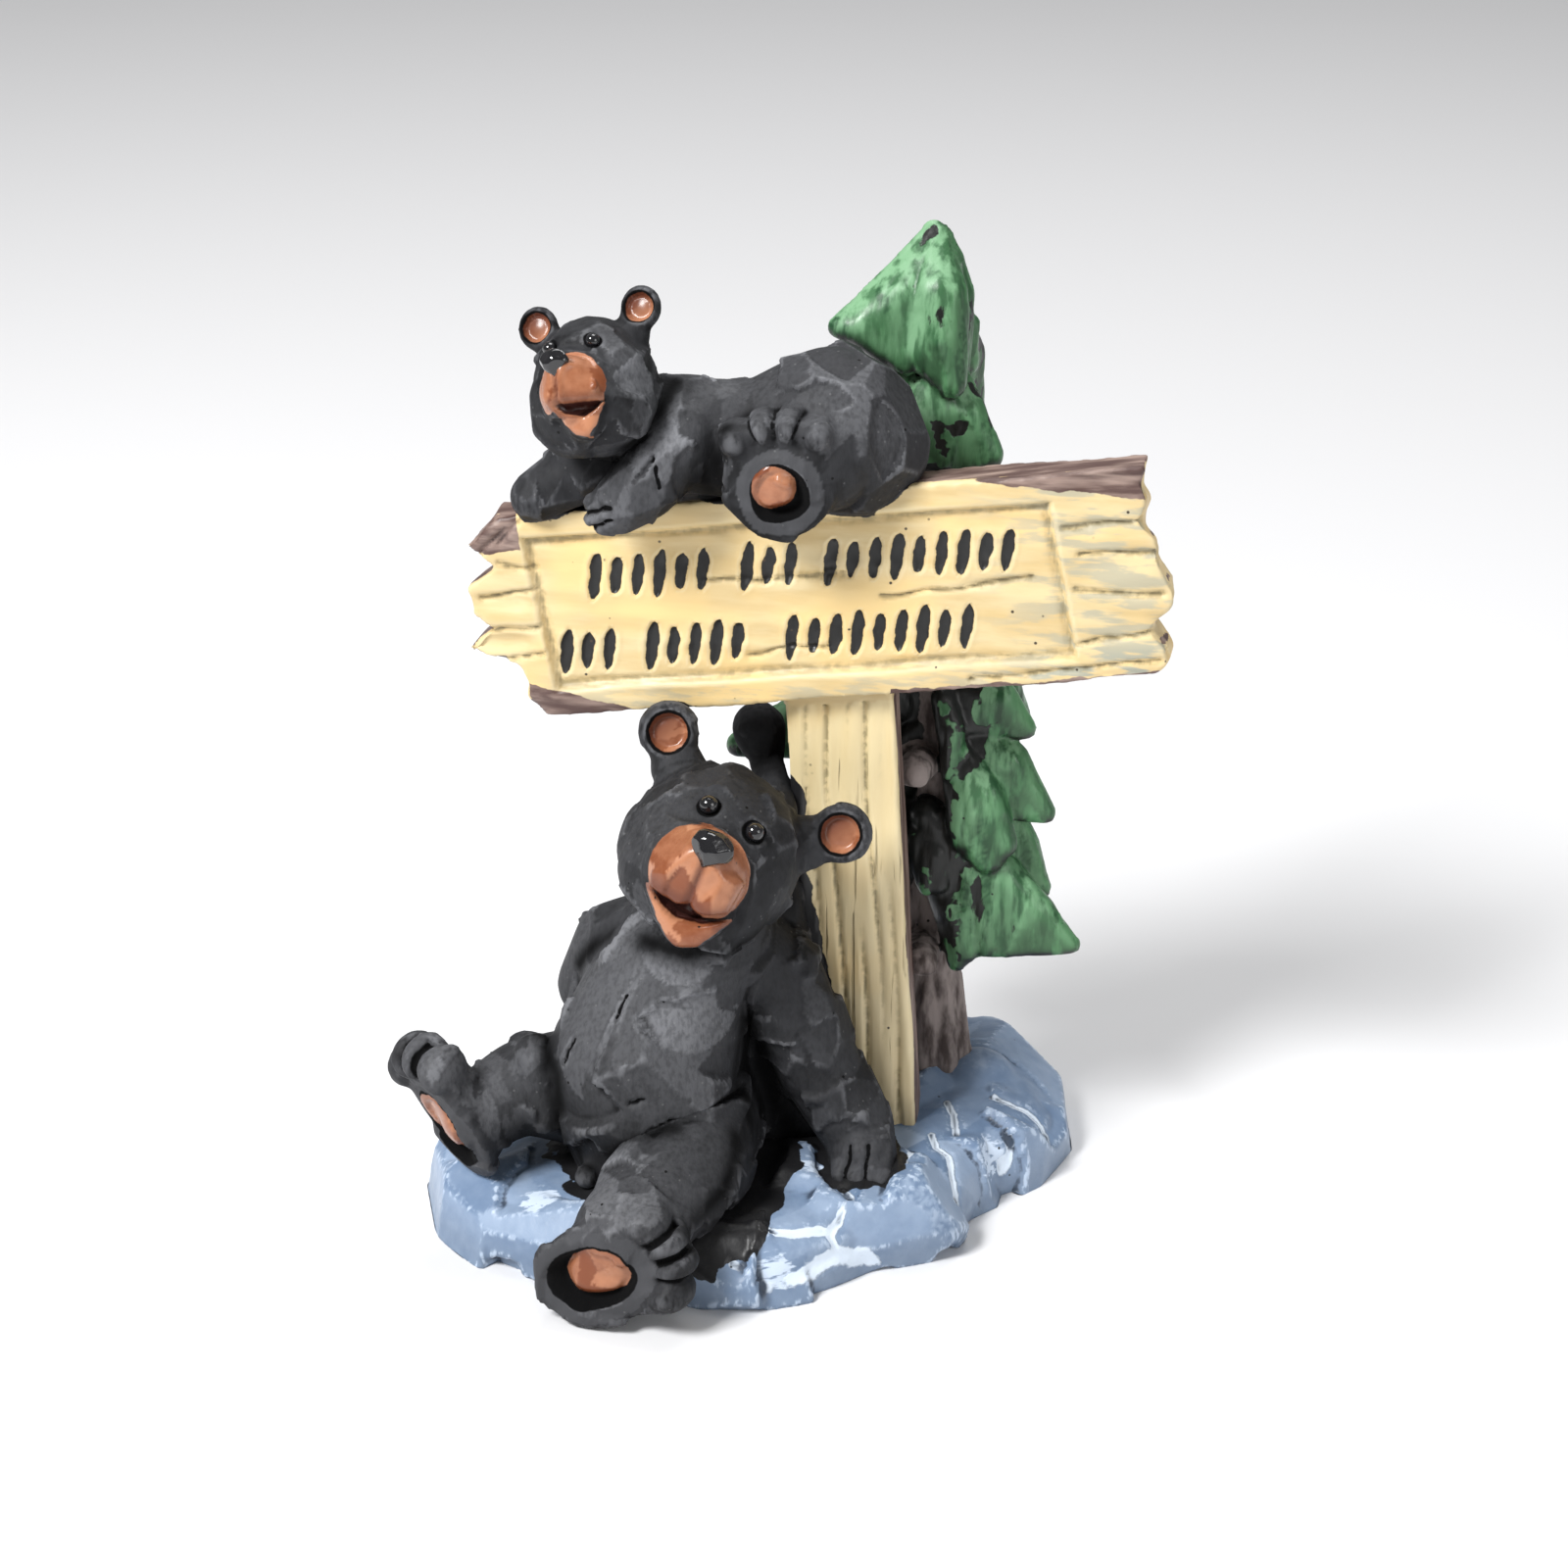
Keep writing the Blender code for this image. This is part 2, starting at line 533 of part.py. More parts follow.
def casting():
    """Fuse the modelled forms, add the timber and cut the carving, as one solid."""
    clay = Clay()
    cuts = Clay()
    rock(clay)
    tree(clay)
    lounging_bear(clay, cuts)
    climbing_bear(clay, cuts)
    timber_cuts(cuts)
    flat_underside(cuts)
    body = place_object("bear_casting", clay.mesh("bear_casting"))
    timber = tool_object("timber", post_and_sign().mesh("timber"))
    carving = tool_object("carving", cuts.mesh("carving"))
    fuse = body.modifiers.new("fuse", "REMESH")
    fuse.mode = "VOXEL"
    fuse.voxel_size = VOXEL * MM
    soften = body.modifiers.new("soften", "SMOOTH")
    soften.factor = 0.5
    soften.iterations = SMOOTHING_ROUNDS
    facets = body.modifiers.new("facets", "DECIMATE")
    facets.ratio = FACE_SHARE
    for name, tool, operation in (("timber", timber, "UNION"), ("carving", carving, "DIFFERENCE")):
        boolean = body.modifiers.new(name, "BOOLEAN")
        boolean.object = tool
        boolean.operation = operation
        boolean.use_self = True
    body.data.materials.append(painted("painted_resin", (0.055, 0.056, 0.062), 0.5))
    return body


for old in list(bpy.data.objects):
    bpy.data.objects.remove(old, do_unlink=True)
casting()
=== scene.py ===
"""Bear figurine: a hand-painted resin casting, in the look of a chiselled wood carving.

Pieces are modelled in millimetres and put into their meshes in metres, in the frame of
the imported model: X to the viewer's right, -Y towards the viewer, +Z up.
"""
import math

import bmesh
import bpy
import numpy as np
from mathutils import Matrix, Vector


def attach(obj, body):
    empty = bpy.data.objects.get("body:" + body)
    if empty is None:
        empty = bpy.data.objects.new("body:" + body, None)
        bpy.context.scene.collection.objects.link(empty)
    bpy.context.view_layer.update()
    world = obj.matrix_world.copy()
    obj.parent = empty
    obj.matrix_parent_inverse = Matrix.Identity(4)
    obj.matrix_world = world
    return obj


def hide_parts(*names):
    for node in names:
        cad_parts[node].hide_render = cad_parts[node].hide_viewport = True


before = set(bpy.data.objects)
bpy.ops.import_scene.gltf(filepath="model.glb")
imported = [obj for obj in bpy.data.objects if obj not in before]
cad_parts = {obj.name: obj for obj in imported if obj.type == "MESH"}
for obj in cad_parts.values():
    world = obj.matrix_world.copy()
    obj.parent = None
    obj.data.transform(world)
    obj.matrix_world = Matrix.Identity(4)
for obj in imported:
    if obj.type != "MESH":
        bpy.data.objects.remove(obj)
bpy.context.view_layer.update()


# Studio: a pale table, a broad soft light high on the left, a fill on the right and one
# overhead. The camera looks down at the figurine by 25 degrees from 450 mm away.

CAMERA_TARGET = Vector((0.0045, 0.0, 0.0551))
CAMERA_DISTANCE = 0.45
CAMERA_ELEVATION = math.radians(25.0)
CAMERA_LENS = 81.0
CAMERA_SENSOR = 36.0
TABLE_HALF = 3.0
AIR_BRIGHTNESS = 0.24


def soft_light(name, place, power, size):
    """Hang a square lamp at a place, aimed at the middle of the figurine."""
    lamp = bpy.data.lights.new(name, "AREA")
    lamp.energy = power
    lamp.size = size
    obj = bpy.data.objects.new(name, lamp)
    obj.location = place
    obj.rotation_euler = (CAMERA_TARGET - Vector(place)).to_track_quat("-Z", "Y").to_euler()
    bpy.context.scene.collection.objects.link(obj)


camera = bpy.data.objects.new("camera", bpy.data.cameras.new("camera"))
camera.data.lens = CAMERA_LENS
camera.data.sensor_width = CAMERA_SENSOR
camera.data.clip_start = 0.01
camera.location = CAMERA_TARGET + CAMERA_DISTANCE * Vector((0.0, -math.cos(CAMERA_ELEVATION),
                                                            math.sin(CAMERA_ELEVATION)))
camera.rotation_euler = (math.radians(90.0) - CAMERA_ELEVATION, 0.0, 0.0)
bpy.context.scene.collection.objects.link(camera)
bpy.context.scene.camera = camera
bpy.context.scene.view_settings.view_transform = "Standard"

soft_light("key", (-0.42, -0.38, 0.64), 8.6, 0.24)
soft_light("fill", (0.60, -0.52, 0.30), 1.6, 0.40)
soft_light("overhead", (0.08, 0.25, 0.80), 3.2, 0.40)

world = bpy.data.worlds.new("studio_air")
world.use_nodes = True
world.node_tree.nodes["Background"].inputs["Color"].default_value = (1.0, 1.0, 1.0, 1.0)
world.node_tree.nodes["Background"].inputs["Strength"].default_value = AIR_BRIGHTNESS
bpy.context.scene.world = world

floor_mesh = bpy.data.meshes.new("table")
floor_mesh.from_pydata([(x * TABLE_HALF, y * TABLE_HALF, 0.0) for x, y in ((-1, -1), (1, -1), (1, 1), (-1, 1))],
                       [], [(0, 1, 2, 3)])
table = bpy.data.objects.new("table", floor_mesh)
bpy.context.scene.collection.objects.link(table)
table_paint = bpy.data.materials.new("pale_table")
table_paint.use_nodes = True
table_shader = table_paint.node_tree.nodes["Principled BSDF"]
table_shader.inputs["Base Color"].default_value = (0.80, 0.80, 0.81, 1.0)
table_shader.inputs["Roughness"].default_value = 0.9
floor_mesh.materials.append(table_paint)


# Rock base: a low slab of cast resin with chiselled flats, painted slate blue, with white
# dry-brushed lines where the flats meet. The whole casting stands on its flat underside.

MM = 0.001
FAR = 1e9
ROCK_LENGTH = 83.0
ROCK_DEPTH = 63.0
ROCK_HEIGHT = 9.5
ROCK_CENTRE_Y = -5.0
ROCK_VOXEL = 0.46
ROCK_FLAT_SPACING = 6.4
ROCK_CRACK_DEPTH = 0.40
ROCK_CRACK_WIDTH = 0.6
ROCK_LINE_HALF_WIDTH = 0.50
# Outline in shares of half the length and half the depth, from the right, anticlockwise
ROCK_OUTLINE = np.array((
    (1.00, 0.26), (0.96, 0.60), (0.80, 0.90), (0.45, 1.00), (0.05, 0.96), (-0.38, 0.86),
    (-0.74, 0.60), (-0.96, 0.28), (-1.00, -0.06), (-0.95, -0.36), (-0.83, -0.62), (-0.60, -0.82),
    (-0.30, -0.94), (-0.02, -1.00), (0.20, -0.92), (0.42, -0.72), (0.62, -0.56), (0.76, -0.22),
    (0.88, -0.10), (0.98, 0.10),
))
# Height and share of the outline of each ring up the rock's side
ROCK_RINGS = ((-0.15, 0.975), (0.30, 1.00), (0.66, 0.965), (0.90, 0.90), (1.0, 0.80))
# Mounds that stand on the slab: centre and radius
ROCK_MOUNDS = (
    ((30.5, 7.0, 6.0), 6.2), ((33.0, 1.0, 3.6), 6.0), ((27.5, 3.5, 5.0), 5.0),
    ((12.0, -21.0, 3.6), 6.4), ((-26.0, -14.0, 3.4), 6.2),
)
# Painted crack lines, down the top and the side
ROCK_LINES = (
    ((21.3, -14.9, 9.8), (20.1, -19.4, 9.8), (20.4, -22.3, 8.6), (21.2, -23.8, 7.0),
     (21.5, -25.0, 4.5), (19.9, -26.2, 2.7), (17.8, -27.1, 1.3)),
    ((12.1, -23.8, 9.5), (13.0, -25.9, 8.8), (11.4, -29.1, 7.9), (10.2, -30.7, 7.2),
     (11.1, -31.2, 5.5), (11.4, -31.4, 4.5)),
    ((1.7, -29.1, 9.5), (1.6, -32.5, 8.6), (5.7, -32.1, 7.9), (9.5, -30.7, 7.6)),
    ((11.4, -31.4, 4.5), (9.3, -32.9, 4.1), (6.8, -34.5, 3.1), (3.6, -35.3, 1.5),
     (0.8, -36.2, 2.8), (-2.0, -35.5, 5.4)),
    ((11.8, -31.2, 4.3), (14.9, -29.5, 2.8), (17.4, -27.5, 1.9)),
    ((23.7, -10.0, 9.5), (24.3, -13.1, 9.3), (25.9, -14.3, 8.7), (26.3, -17.4, 7.4),
     (26.7, -19.5, 5.2), (26.0, -21.8, 3.3)),
    ((26.1, -1.8, 9.6), (26.8, -5.0, 9.6), (27.0, -9.6, 9.3)),
    ((32.2, -0.5, 9.5), (35.6, -2.0, 8.7), (38.2, -2.4, 6.9), (39.4, -2.8, 4.6),
     (39.1, -4.2, 2.4), (37.3, -6.5, 1.4)),
    ((33.6, -7.8, 7.8), (34.2, -8.5, 6.6), (34.1, -9.2, 4.9), (32.9, -10.1, 4.4)),
    ((-30.0, 14.0, 9.6), (-22.0, 20.0, 8.6), (-20.0, 24.0, 5.0), (-16.0, 25.0, 1.5)),
    ((2.0, 20.0, 9.6), (8.0, 23.5, 7.8), (7.0, 26.5, 4.0), (12.0, 26.5, 1.2)),
    ((-36.0, -2.0, 9.0), (-39.5, 3.0, 6.5), (-39.0, 9.0, 2.0)),
    ((32.0, 12.0, 9.2), (36.0, 16.0, 7.0), (35.0, 19.0, 3.0)),
)


def even_directions():
    """Directions spread over a ball: the corners of an icosahedron whose faces were halved twice."""
    bm = bmesh.new()
    bmesh.ops.create_icosphere(bm, subdivisions=3, radius=1.0)
    directions = np.array([v.co for v in bm.verts])
    bm.free()
    return directions


DIRECTIONS = even_directions()


class Lumps:
    """Rough forms laid over each other, before they're melted into one skin."""

    def __init__(self):
        self.points = []
        self.faces = []
        self.bones = []
        self.count = 0

    def shell(self, points, faces):
        """Add a closed shell given by its points and its faces."""
        self.points.append(np.asarray(points, float))
        self.faces += [[self.count + i for i in face] for face in faces]
        self.count += len(points)

    def hull(self, *balls, turn=None):
        """Add the skin stretched over balls, each a centre with one or three radii on the turned axes."""
        turn = np.eye(3) if turn is None else np.array(turn)
        cloud = np.concatenate([np.array(c) + (DIRECTIONS * np.array(r)) @ turn.T for c, r in balls])
        bm = bmesh.new()
        for point in cloud:
            bm.verts.new(point)
        bmesh.ops.convex_hull(bm, input=bm.verts)
        bmesh.ops.delete(bm, geom=[v for v in bm.verts if not v.link_faces], context="VERTS")
        bmesh.ops.recalc_face_normals(bm, faces=bm.faces)
        bm.verts.index_update()
        self.shell([v.co[:] for v in bm.verts], [[v.index for v in f.verts] for f in bm.faces])
        bm.free()
        ends = [(np.array(c, float), float(np.mean(r))) for c, r in balls]
        self.bones += [(a, b) for i, a in enumerate(ends) for b in ends[i:]]

    def limb(self, *balls):
        """Add a chain of tapered lengths from ball to ball."""
        for start, end in zip(balls, balls[1:]):
            self.hull(start, end)


class Skin:
    """A closed surface of four-sided faces, in millimetres, with the values painted on its points."""

    def __init__(self, points, faces):
        self.points = points
        self.faces = faces
        sides = np.sort(np.concatenate([faces[:, (k, (k + 1) % 4)] for k in range(4)]), axis=1)
        keys = np.unique(sides[:, 0].astype(np.int64) * len(points) + sides[:, 1])
        self.edges = np.stack((keys // len(points), keys % len(points)), axis=1)
        self.degree = np.bincount(self.edges.ravel(), minlength=len(points))
        self.paint = {}

    def gather(self, values):
        """Sum a value over each point's neighbours."""
        a, b = self.edges.T
        n = len(self.points)
        return np.bincount(a, values[b], n) + np.bincount(b, values[a], n)

    def spread(self, values, rounds, share=0.5):
        """Move values towards the mean of their neighbours, a share of the way in each round."""
        values = np.array(values, float)
        columns = values.reshape(len(values), -1).T.copy()
        for _ in range(rounds):
            columns = np.array([c + share * (self.gather(c) / self.degree - c) for c in columns])
        return columns.T.reshape(values.shape)

    def normals(self):
        """Outward unit normals: the sum over a point's faces of the cross product of their diagonals."""
        corner = self.points[self.faces]
        cross = np.cross(corner[:, 2] - corner[:, 0], corner[:, 3] - corner[:, 1])
        n = len(self.points)
        total = np.stack([sum(np.bincount(self.faces[:, k], cross[:, axis], n) for k in range(4))
                          for axis in range(3)], axis=1)
        return total / np.maximum(np.linalg.norm(total, axis=1, keepdims=True), 1e-9)

    def relief(self, height):
        """Move each point along its normal by a height."""
        self.points = self.points + self.normals() * np.asarray(height)[:, None]

    def bulge(self, rounds):
        """How far a point stands out from the skin smoothed by some rounds, in millimetres."""
        return ((self.points - self.spread(self.points, rounds)) * self.normals()).sum(axis=1)


def melt(lumps, voxel, rounds):
    """Fuse rough forms into one skin: a voxel remesh, then Laplacian smoothing."""
    mesh = bpy.data.meshes.new("melt")
    mesh.from_pydata(np.concatenate(lumps.points), [], lumps.faces)
    obj = bpy.data.objects.new("melt", mesh)
    bpy.context.scene.collection.objects.link(obj)
    modifier = obj.modifiers.new("fuse", "REMESH")
    modifier.mode = "VOXEL"
    modifier.voxel_size = voxel
    bpy.context.view_layer.update()
    done = obj.evaluated_get(bpy.context.evaluated_depsgraph_get()).to_mesh()
    points = np.empty(len(done.vertices) * 3)
    done.vertices.foreach_get("co", points)
    faces = np.empty(len(done.loops), np.int32)
    done.loops.foreach_get("vertex_index", faces)
    skin = Skin(points.reshape(-1, 3), faces.reshape(-1, 4).copy())
    bpy.data.objects.remove(obj, do_unlink=True)
    skin.points = skin.spread(skin.points, rounds)
    return skin


# Flats: reach in shares of the spacing, how squarely a point must face a plane, and softening
FLAT_REACH = 1.7
FLAT_FACING = 0.4
FLAT_SOFTENING = 0.4


def chisel(skin, spacing, lean, limit, seed, stretch=(1.0, 1.0, 1.0), share=1.0, swell=2.0):
    """Cut a skin into flats, as a gouge leaves them.

    Seeds are picked over the skin in random order, none nearer to another than the spacing.
    Each carries a plane square to the skin, leaned a little at random. Every point moves along
    its normal to the lowest plane of the near seeds that face its way, kept within the limit
    and measured from the middle value. It rises by the swell times the limit at most, and the
    share scales the move. Returns which seed's flat each point lies on.
    """
    rng = np.random.default_rng(seed)
    points, normals = skin.points, skin.normals()
    count = len(points)
    measured = points * np.array(stretch)
    spacing, lean, limit, share = (np.broadcast_to(np.asarray(v, float), (count,))
                                   for v in (spacing, lean, limit, share))
    free = np.ones(count, bool)
    low = limit.copy()
    owner = np.arange(count)
    for i in rng.permutation(count):
        if not free[i]:
            continue
        gap = ((measured - measured[i]) ** 2).sum(axis=1)
        free[gap < spacing[i] ** 2] = False
        near = np.flatnonzero(gap < (FLAT_REACH * spacing[i]) ** 2)
        plane = normals[i] + lean[i] * rng.normal(size=3)
        plane /= np.linalg.norm(plane)
        facing = normals[near] @ plane
        rise = ((points[i] - points[near]) @ plane) / np.maximum(facing, FLAT_FACING)
        lower = (facing > FLAT_FACING) & (rise < low[near])
        low[near[lower]] = rise[lower]
        owner[near[lower]] = i
    low = np.clip(low, -limit, limit)
    skin.relief(share * np.minimum(low - np.median(low), swell * limit))
    skin.points = skin.spread(skin.points, 1, FLAT_SOFTENING)
    return owner


def tones(owner, seed):
    """A random tone from 0 to 1 for each flat."""
    return np.random.default_rng(seed).random(len(owner))[owner]


def beside(points, a, b):
    """Share of the way along a straight length where each point lies beside it, and its distance from it."""
    along = np.clip(((points - a) @ (b - a)) / max((b - a) @ (b - a), 1e-9), 0.0, 1.0)
    return along, np.linalg.norm(points - a - along[:, None] * (b - a), axis=1)


def from_line(points, line):
    """Distance of each point from a line of joined lengths."""
    line = np.array(line, float)
    best = np.full(len(points), FAR)
    for a, b in zip(line, line[1:]):
        best = np.minimum(best, beside(points, a, b)[1])
    return best


def within(flat, corners):
    """Distance into a polygon, negative outside it: a point is inside if its ray crosses an odd count of sides."""
    x, y = flat.T
    inside = np.zeros(len(flat), bool)
    for (x0, y0), (x1, y1) in zip(corners, corners[1:] + corners[:1]):
        inside ^= ((y0 > y) != (y1 > y)) & (x < x0 + (y - y0) / (y1 - y0 + 1e-9) * (x1 - x0))
    far = from_line(flat, corners + corners[:1])
    return np.where(inside, far, -far)


def from_bones(points, bones):
    """Distance of each point from the skin of tapered limbs, negative inside them."""
    best = np.full(len(points), FAR)
    for (a, ra), (b, rb) in bones:
        along, far = beside(points, a, b)
        best = np.minimum(best, far - ra - along * (rb - ra))
    return best


def thickness(points, bones):
    """Radius of the nearest tapered limb at each point."""
    best = np.full(len(points), FAR)
    thick = np.zeros(len(points))
    for (a, ra), (b, rb) in bones:
        along, far = beside(points, a, b)
        radius = ra + along * (rb - ra)
        far = np.abs(far - radius)
        thick = np.where(far < best, radius, thick)
        best = np.minimum(best, far)
    return thick


WAVES = 9


def wobble(points, size, seed):
    """Smooth random values from about -1 to 1: a sum of nine plane waves of about the given wavelength."""
    rng = np.random.default_rng(seed)
    waves = rng.normal(size=(WAVES, 3))
    lengths = size * rng.uniform(0.7, 1.5, (WAVES, 1))
    waves *= 2.0 * math.pi / (lengths * np.linalg.norm(waves, axis=1, keepdims=True))
    return np.sin(points @ waves.T + rng.uniform(0.0, 6.28, WAVES)).sum(axis=1) / (WAVES / 2)


def grooves(skin, lines, width, depth):
    """Press round-bottomed grooves along lines: the depth times the bell curve of distance over width."""
    far = np.min([from_line(skin.points, line) for line in lines], axis=0)
    skin.relief(-depth * np.exp(-(far / width) ** 2))
    return far


def along_skin(skin, line):
    """Lay a line on a surface: each of its points and the steps between them go to the nearest point."""
    line = np.array(line)
    steps = [a + (b - a) * t for a, b in zip(line, line[1:]) for t in (0.0, 0.25, 0.5, 0.75)]
    nearest = [int(((skin.points - step) ** 2).sum(axis=1).argmin()) for step in (*steps, line[-1])]
    return [skin.points[i] for i in dict.fromkeys(nearest)]


def make_piece(name, skin, material):
    """Put a skin into the scene in metres, with its painted values, and hang it on the casting."""
    mesh = bpy.data.meshes.new(name)
    mesh.from_pydata(skin.points * MM, [], skin.faces)
    mesh.polygons.foreach_set("use_smooth", np.ones(len(mesh.polygons), bool))
    for key, values in skin.paint.items():
        layer = mesh.attributes.new(key, "FLOAT", "POINT")
        layer.data.foreach_set("value", np.asarray(values, np.float32))
    mesh.materials.append(material)
    piece = bpy.data.objects.new(name, mesh)
    bpy.context.scene.collection.objects.link(piece)
    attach(piece, "root")
    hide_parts("bear_casting")


# The colour sockets of a Mix node, which share their names with its number sockets
MIX_UNDER, MIX_OVER, MIX_RESULT = 6, 7, 2


class Bench:
    """Makes the nodes of one material or effect and joins them."""

    def __init__(self, tree):
        self.tree = tree
        self.place = None

    def node(self, kind, **settings):
        """Make a node of a kind with its settings."""
        node = self.tree.nodes.new(kind)
        for key, value in settings.items():
            setattr(node, key, value)
        return node

    def feed(self, socket, value):
        """Join a socket to another, or give it a plain value."""
        if isinstance(value, bpy.types.NodeSocket):
            self.tree.links.new(value, socket)
        else:
            socket.default_value = value

    def painted(self, key):
        """A value painted on the points of the mesh."""
        return self.node("ShaderNodeAttribute", attribute_name=key).outputs["Fac"]

    def position(self, stretch=(1.0, 1.0, 1.0)):
        """Object coordinates, stretched."""
        self.place = self.place or self.node("ShaderNodeTexCoord")
        node = self.node("ShaderNodeMapping")
        self.feed(node.inputs["Vector"], self.place.outputs["Object"])
        node.inputs["Scale"].default_value = stretch
        return node.outputs["Vector"]

    def noise(self, size, detail=3.0, stretch=(1.0, 1.0, 1.0)):
        """Cloudy noise with spots of a size in millimetres."""
        node = self.node("ShaderNodeTexNoise")
        self.feed(node.inputs["Vector"], self.position(stretch))
        node.inputs["Scale"].default_value = 1.0 / MM / size
        node.inputs["Detail"].default_value = detail
        return node.outputs["Fac"]

    def maths(self, operation, a, b, clamp=False):
        """One sum on two values."""
        node = self.node("ShaderNodeMath", operation=operation, use_clamp=clamp)
        self.feed(node.inputs[0], a)
        self.feed(node.inputs[1], b)
        return node.outputs["Value"]

    def plus(self, a, b):
        """The sum of two values."""
        return self.maths("ADD", a, b)

    def minus(self, a, b):
        """The second value taken from the first."""
        return self.maths("SUBTRACT", a, b)

    def times(self, a, b):
        """The product of two values."""
        return self.maths("MULTIPLY", a, b)

    def most(self, a, b):
        """The larger of two values."""
        return self.maths("MAXIMUM", a, b)

    def step(self, value, low, high):
        """A soft step from 0 at low to 1 at high."""
        node = self.node("ShaderNodeMapRange", interpolation_type="SMOOTHSTEP")
        self.feed(node.inputs["Value"], value)
        node.inputs["From Min"].default_value = low
        node.inputs["From Max"].default_value = high
        return node.outputs["Result"]

    def ragged(self, value, size, reach, soft):
        """A soft step at 0 whose edge wanders by a reach in millimetres."""
        shift = self.times(self.minus(self.noise(size), 0.5), 2.0 * reach)
        return self.step(self.plus(value, shift), -soft, soft)

    def blend(self, share, under, over):
        """One colour laid over another by a share."""
        node = self.node("ShaderNodeMix", data_type="RGBA")
        self.feed(node.inputs["Factor"], share)
        for socket, colour in ((MIX_UNDER, under), (MIX_OVER, over)):
            self.feed(node.inputs[socket], (*colour, 1.0) if isinstance(colour, tuple) else colour)
        return node.outputs[MIX_RESULT]

    def coats(self, colour, *coats):
        """Coats of paint laid over a colour in turn, each a share and a colour."""
        for share, over in coats:
            colour = self.blend(share, colour, over)
        return colour


def flaws_group():
    """Pinholes that bubbles left in the cast, pale dust and the fine grain of the brushed paint."""
    tree = bpy.data.node_groups.new("casting_flaws", "ShaderNodeTree")
    for name in ("Hole spacing", "Dust spacing"):
        tree.interface.new_socket(name, in_out="INPUT", socket_type="NodeSocketFloat")
    for name in ("Pinhole", "Dust", "Brushed"):
        tree.interface.new_socket(name, in_out="OUTPUT", socket_type="NodeSocketFloat")
    bench = Bench(tree)
    taken = bench.node("NodeGroupInput")
    given = bench.node("NodeGroupOutput")
    for spacing, result, low, high in (("Hole spacing", "Pinhole", 0.045, 0.075),
                                       ("Dust spacing", "Dust", 0.07, 0.15)):
        spots = bench.node("ShaderNodeTexVoronoi")
        bench.feed(spots.inputs["Vector"], bench.position())
        bench.feed(spots.inputs["Scale"], bench.maths("DIVIDE", 1.0 / MM, taken.outputs[spacing]))
        thin = bench.step(bench.noise(7.0, 1.0), 0.46, 0.56)
        ring = bench.minus(1.0, bench.step(spots.outputs["Distance"], low, high))
        bench.feed(given.inputs[result], bench.times(ring, thin))
    bench.feed(given.inputs["Brushed"], bench.noise(0.8, 5.0, (1.0, 1.0, 0.35)))
    return tree


FLAWS = flaws_group()


def new_paint(name):
    """A new material and its bench."""
    material = bpy.data.materials.new(name)
    material.use_nodes = True
    return material, Bench(material.node_tree)


def cast_flaws(bench, hole_spacing=3.2, dust_spacing=1.3):
    """The flaws of the casting in one material, spaced in millimetres."""
    flaws = bench.node("ShaderNodeGroup", node_tree=FLAWS)
    flaws.inputs["Hole spacing"].default_value = hole_spacing
    flaws.inputs["Dust spacing"].default_value = dust_spacing
    return flaws.outputs


def lay_paint(material, bench, colour, roughness, height, depth, gloss=0.5, lacquer=0.0, haze=0.03):
    """Join a paint to its shader.

    The height makes a bump of a depth in millimetres. The gloss is the paint's own, and the
    lacquer is a clear coat over it, dulled by the haze.
    """
    shader = material.node_tree.nodes["Principled BSDF"]
    bump = bench.node("ShaderNodeBump")
    bump.inputs["Strength"].default_value = 1.0
    bump.inputs["Distance"].default_value = depth * MM
    bench.feed(bump.inputs["Height"], height)
    bench.feed(shader.inputs["Normal"], bump.outputs["Normal"])
    bench.feed(shader.inputs["Base Color"], colour)
    bench.feed(shader.inputs["Roughness"], roughness)
    bench.feed(shader.inputs["Coat Weight"], lacquer)
    shader.inputs["Specular IOR Level"].default_value = gloss
    shader.inputs["Coat Roughness"].default_value = haze
    return material


def rock_paint():
    """Slate blue with paler tops, greyer sides, white brushed crack lines, painted shade in hollows, dark pits."""
    material, bench = new_paint("slate_paint")
    flaws = cast_flaws(bench)
    tone = bench.plus(bench.painted("tone"), bench.noise(2.5, 5.0))
    crest = bench.times(bench.step(bench.painted("crest"), 0.015, 0.11), bench.step(flaws["Brushed"], 0.48, 0.62))
    frost = bench.times(bench.painted("frost"), bench.noise(1.0, 6.0, (0.4, 1.0, 1.6)))
    line = bench.ragged(bench.painted("line"), 1.0, 0.22, 0.08)
    colour = bench.coats(
        bench.blend(bench.step(tone, 0.35, 1.60), (0.135, 0.205, 0.325), (0.290, 0.375, 0.510)),
        (bench.times(bench.painted("side"), 0.32), (0.120, 0.155, 0.205)),
        (bench.times(crest, 0.8), (0.52, 0.62, 0.76)),
        (bench.step(frost, 0.30, 0.40), (0.62, 0.72, 0.86)),
        (line, (0.70, 0.79, 0.90)),
        # Painted shade in the hollows.
        (bench.step(bench.painted("crest"), -0.04, -0.20), (0.050, 0.070, 0.105)),
        # Black spilled from the fur, and black painted shade round the lounger's legs.
        (bench.ragged(bench.painted("black_spill_and_shade"), 2.2, 0.9, 0.07), (0.012, 0.012, 0.013)),
        (flaws["Pinhole"], (0.012, 0.014, 0.018)),
    )
    height = bench.plus(bench.noise(1.6, 5.0), line)
    return lay_paint(material, bench, colour, bench.step(bench.noise(3.0), -0.6, 1.9), height, 0.12, 0.4)


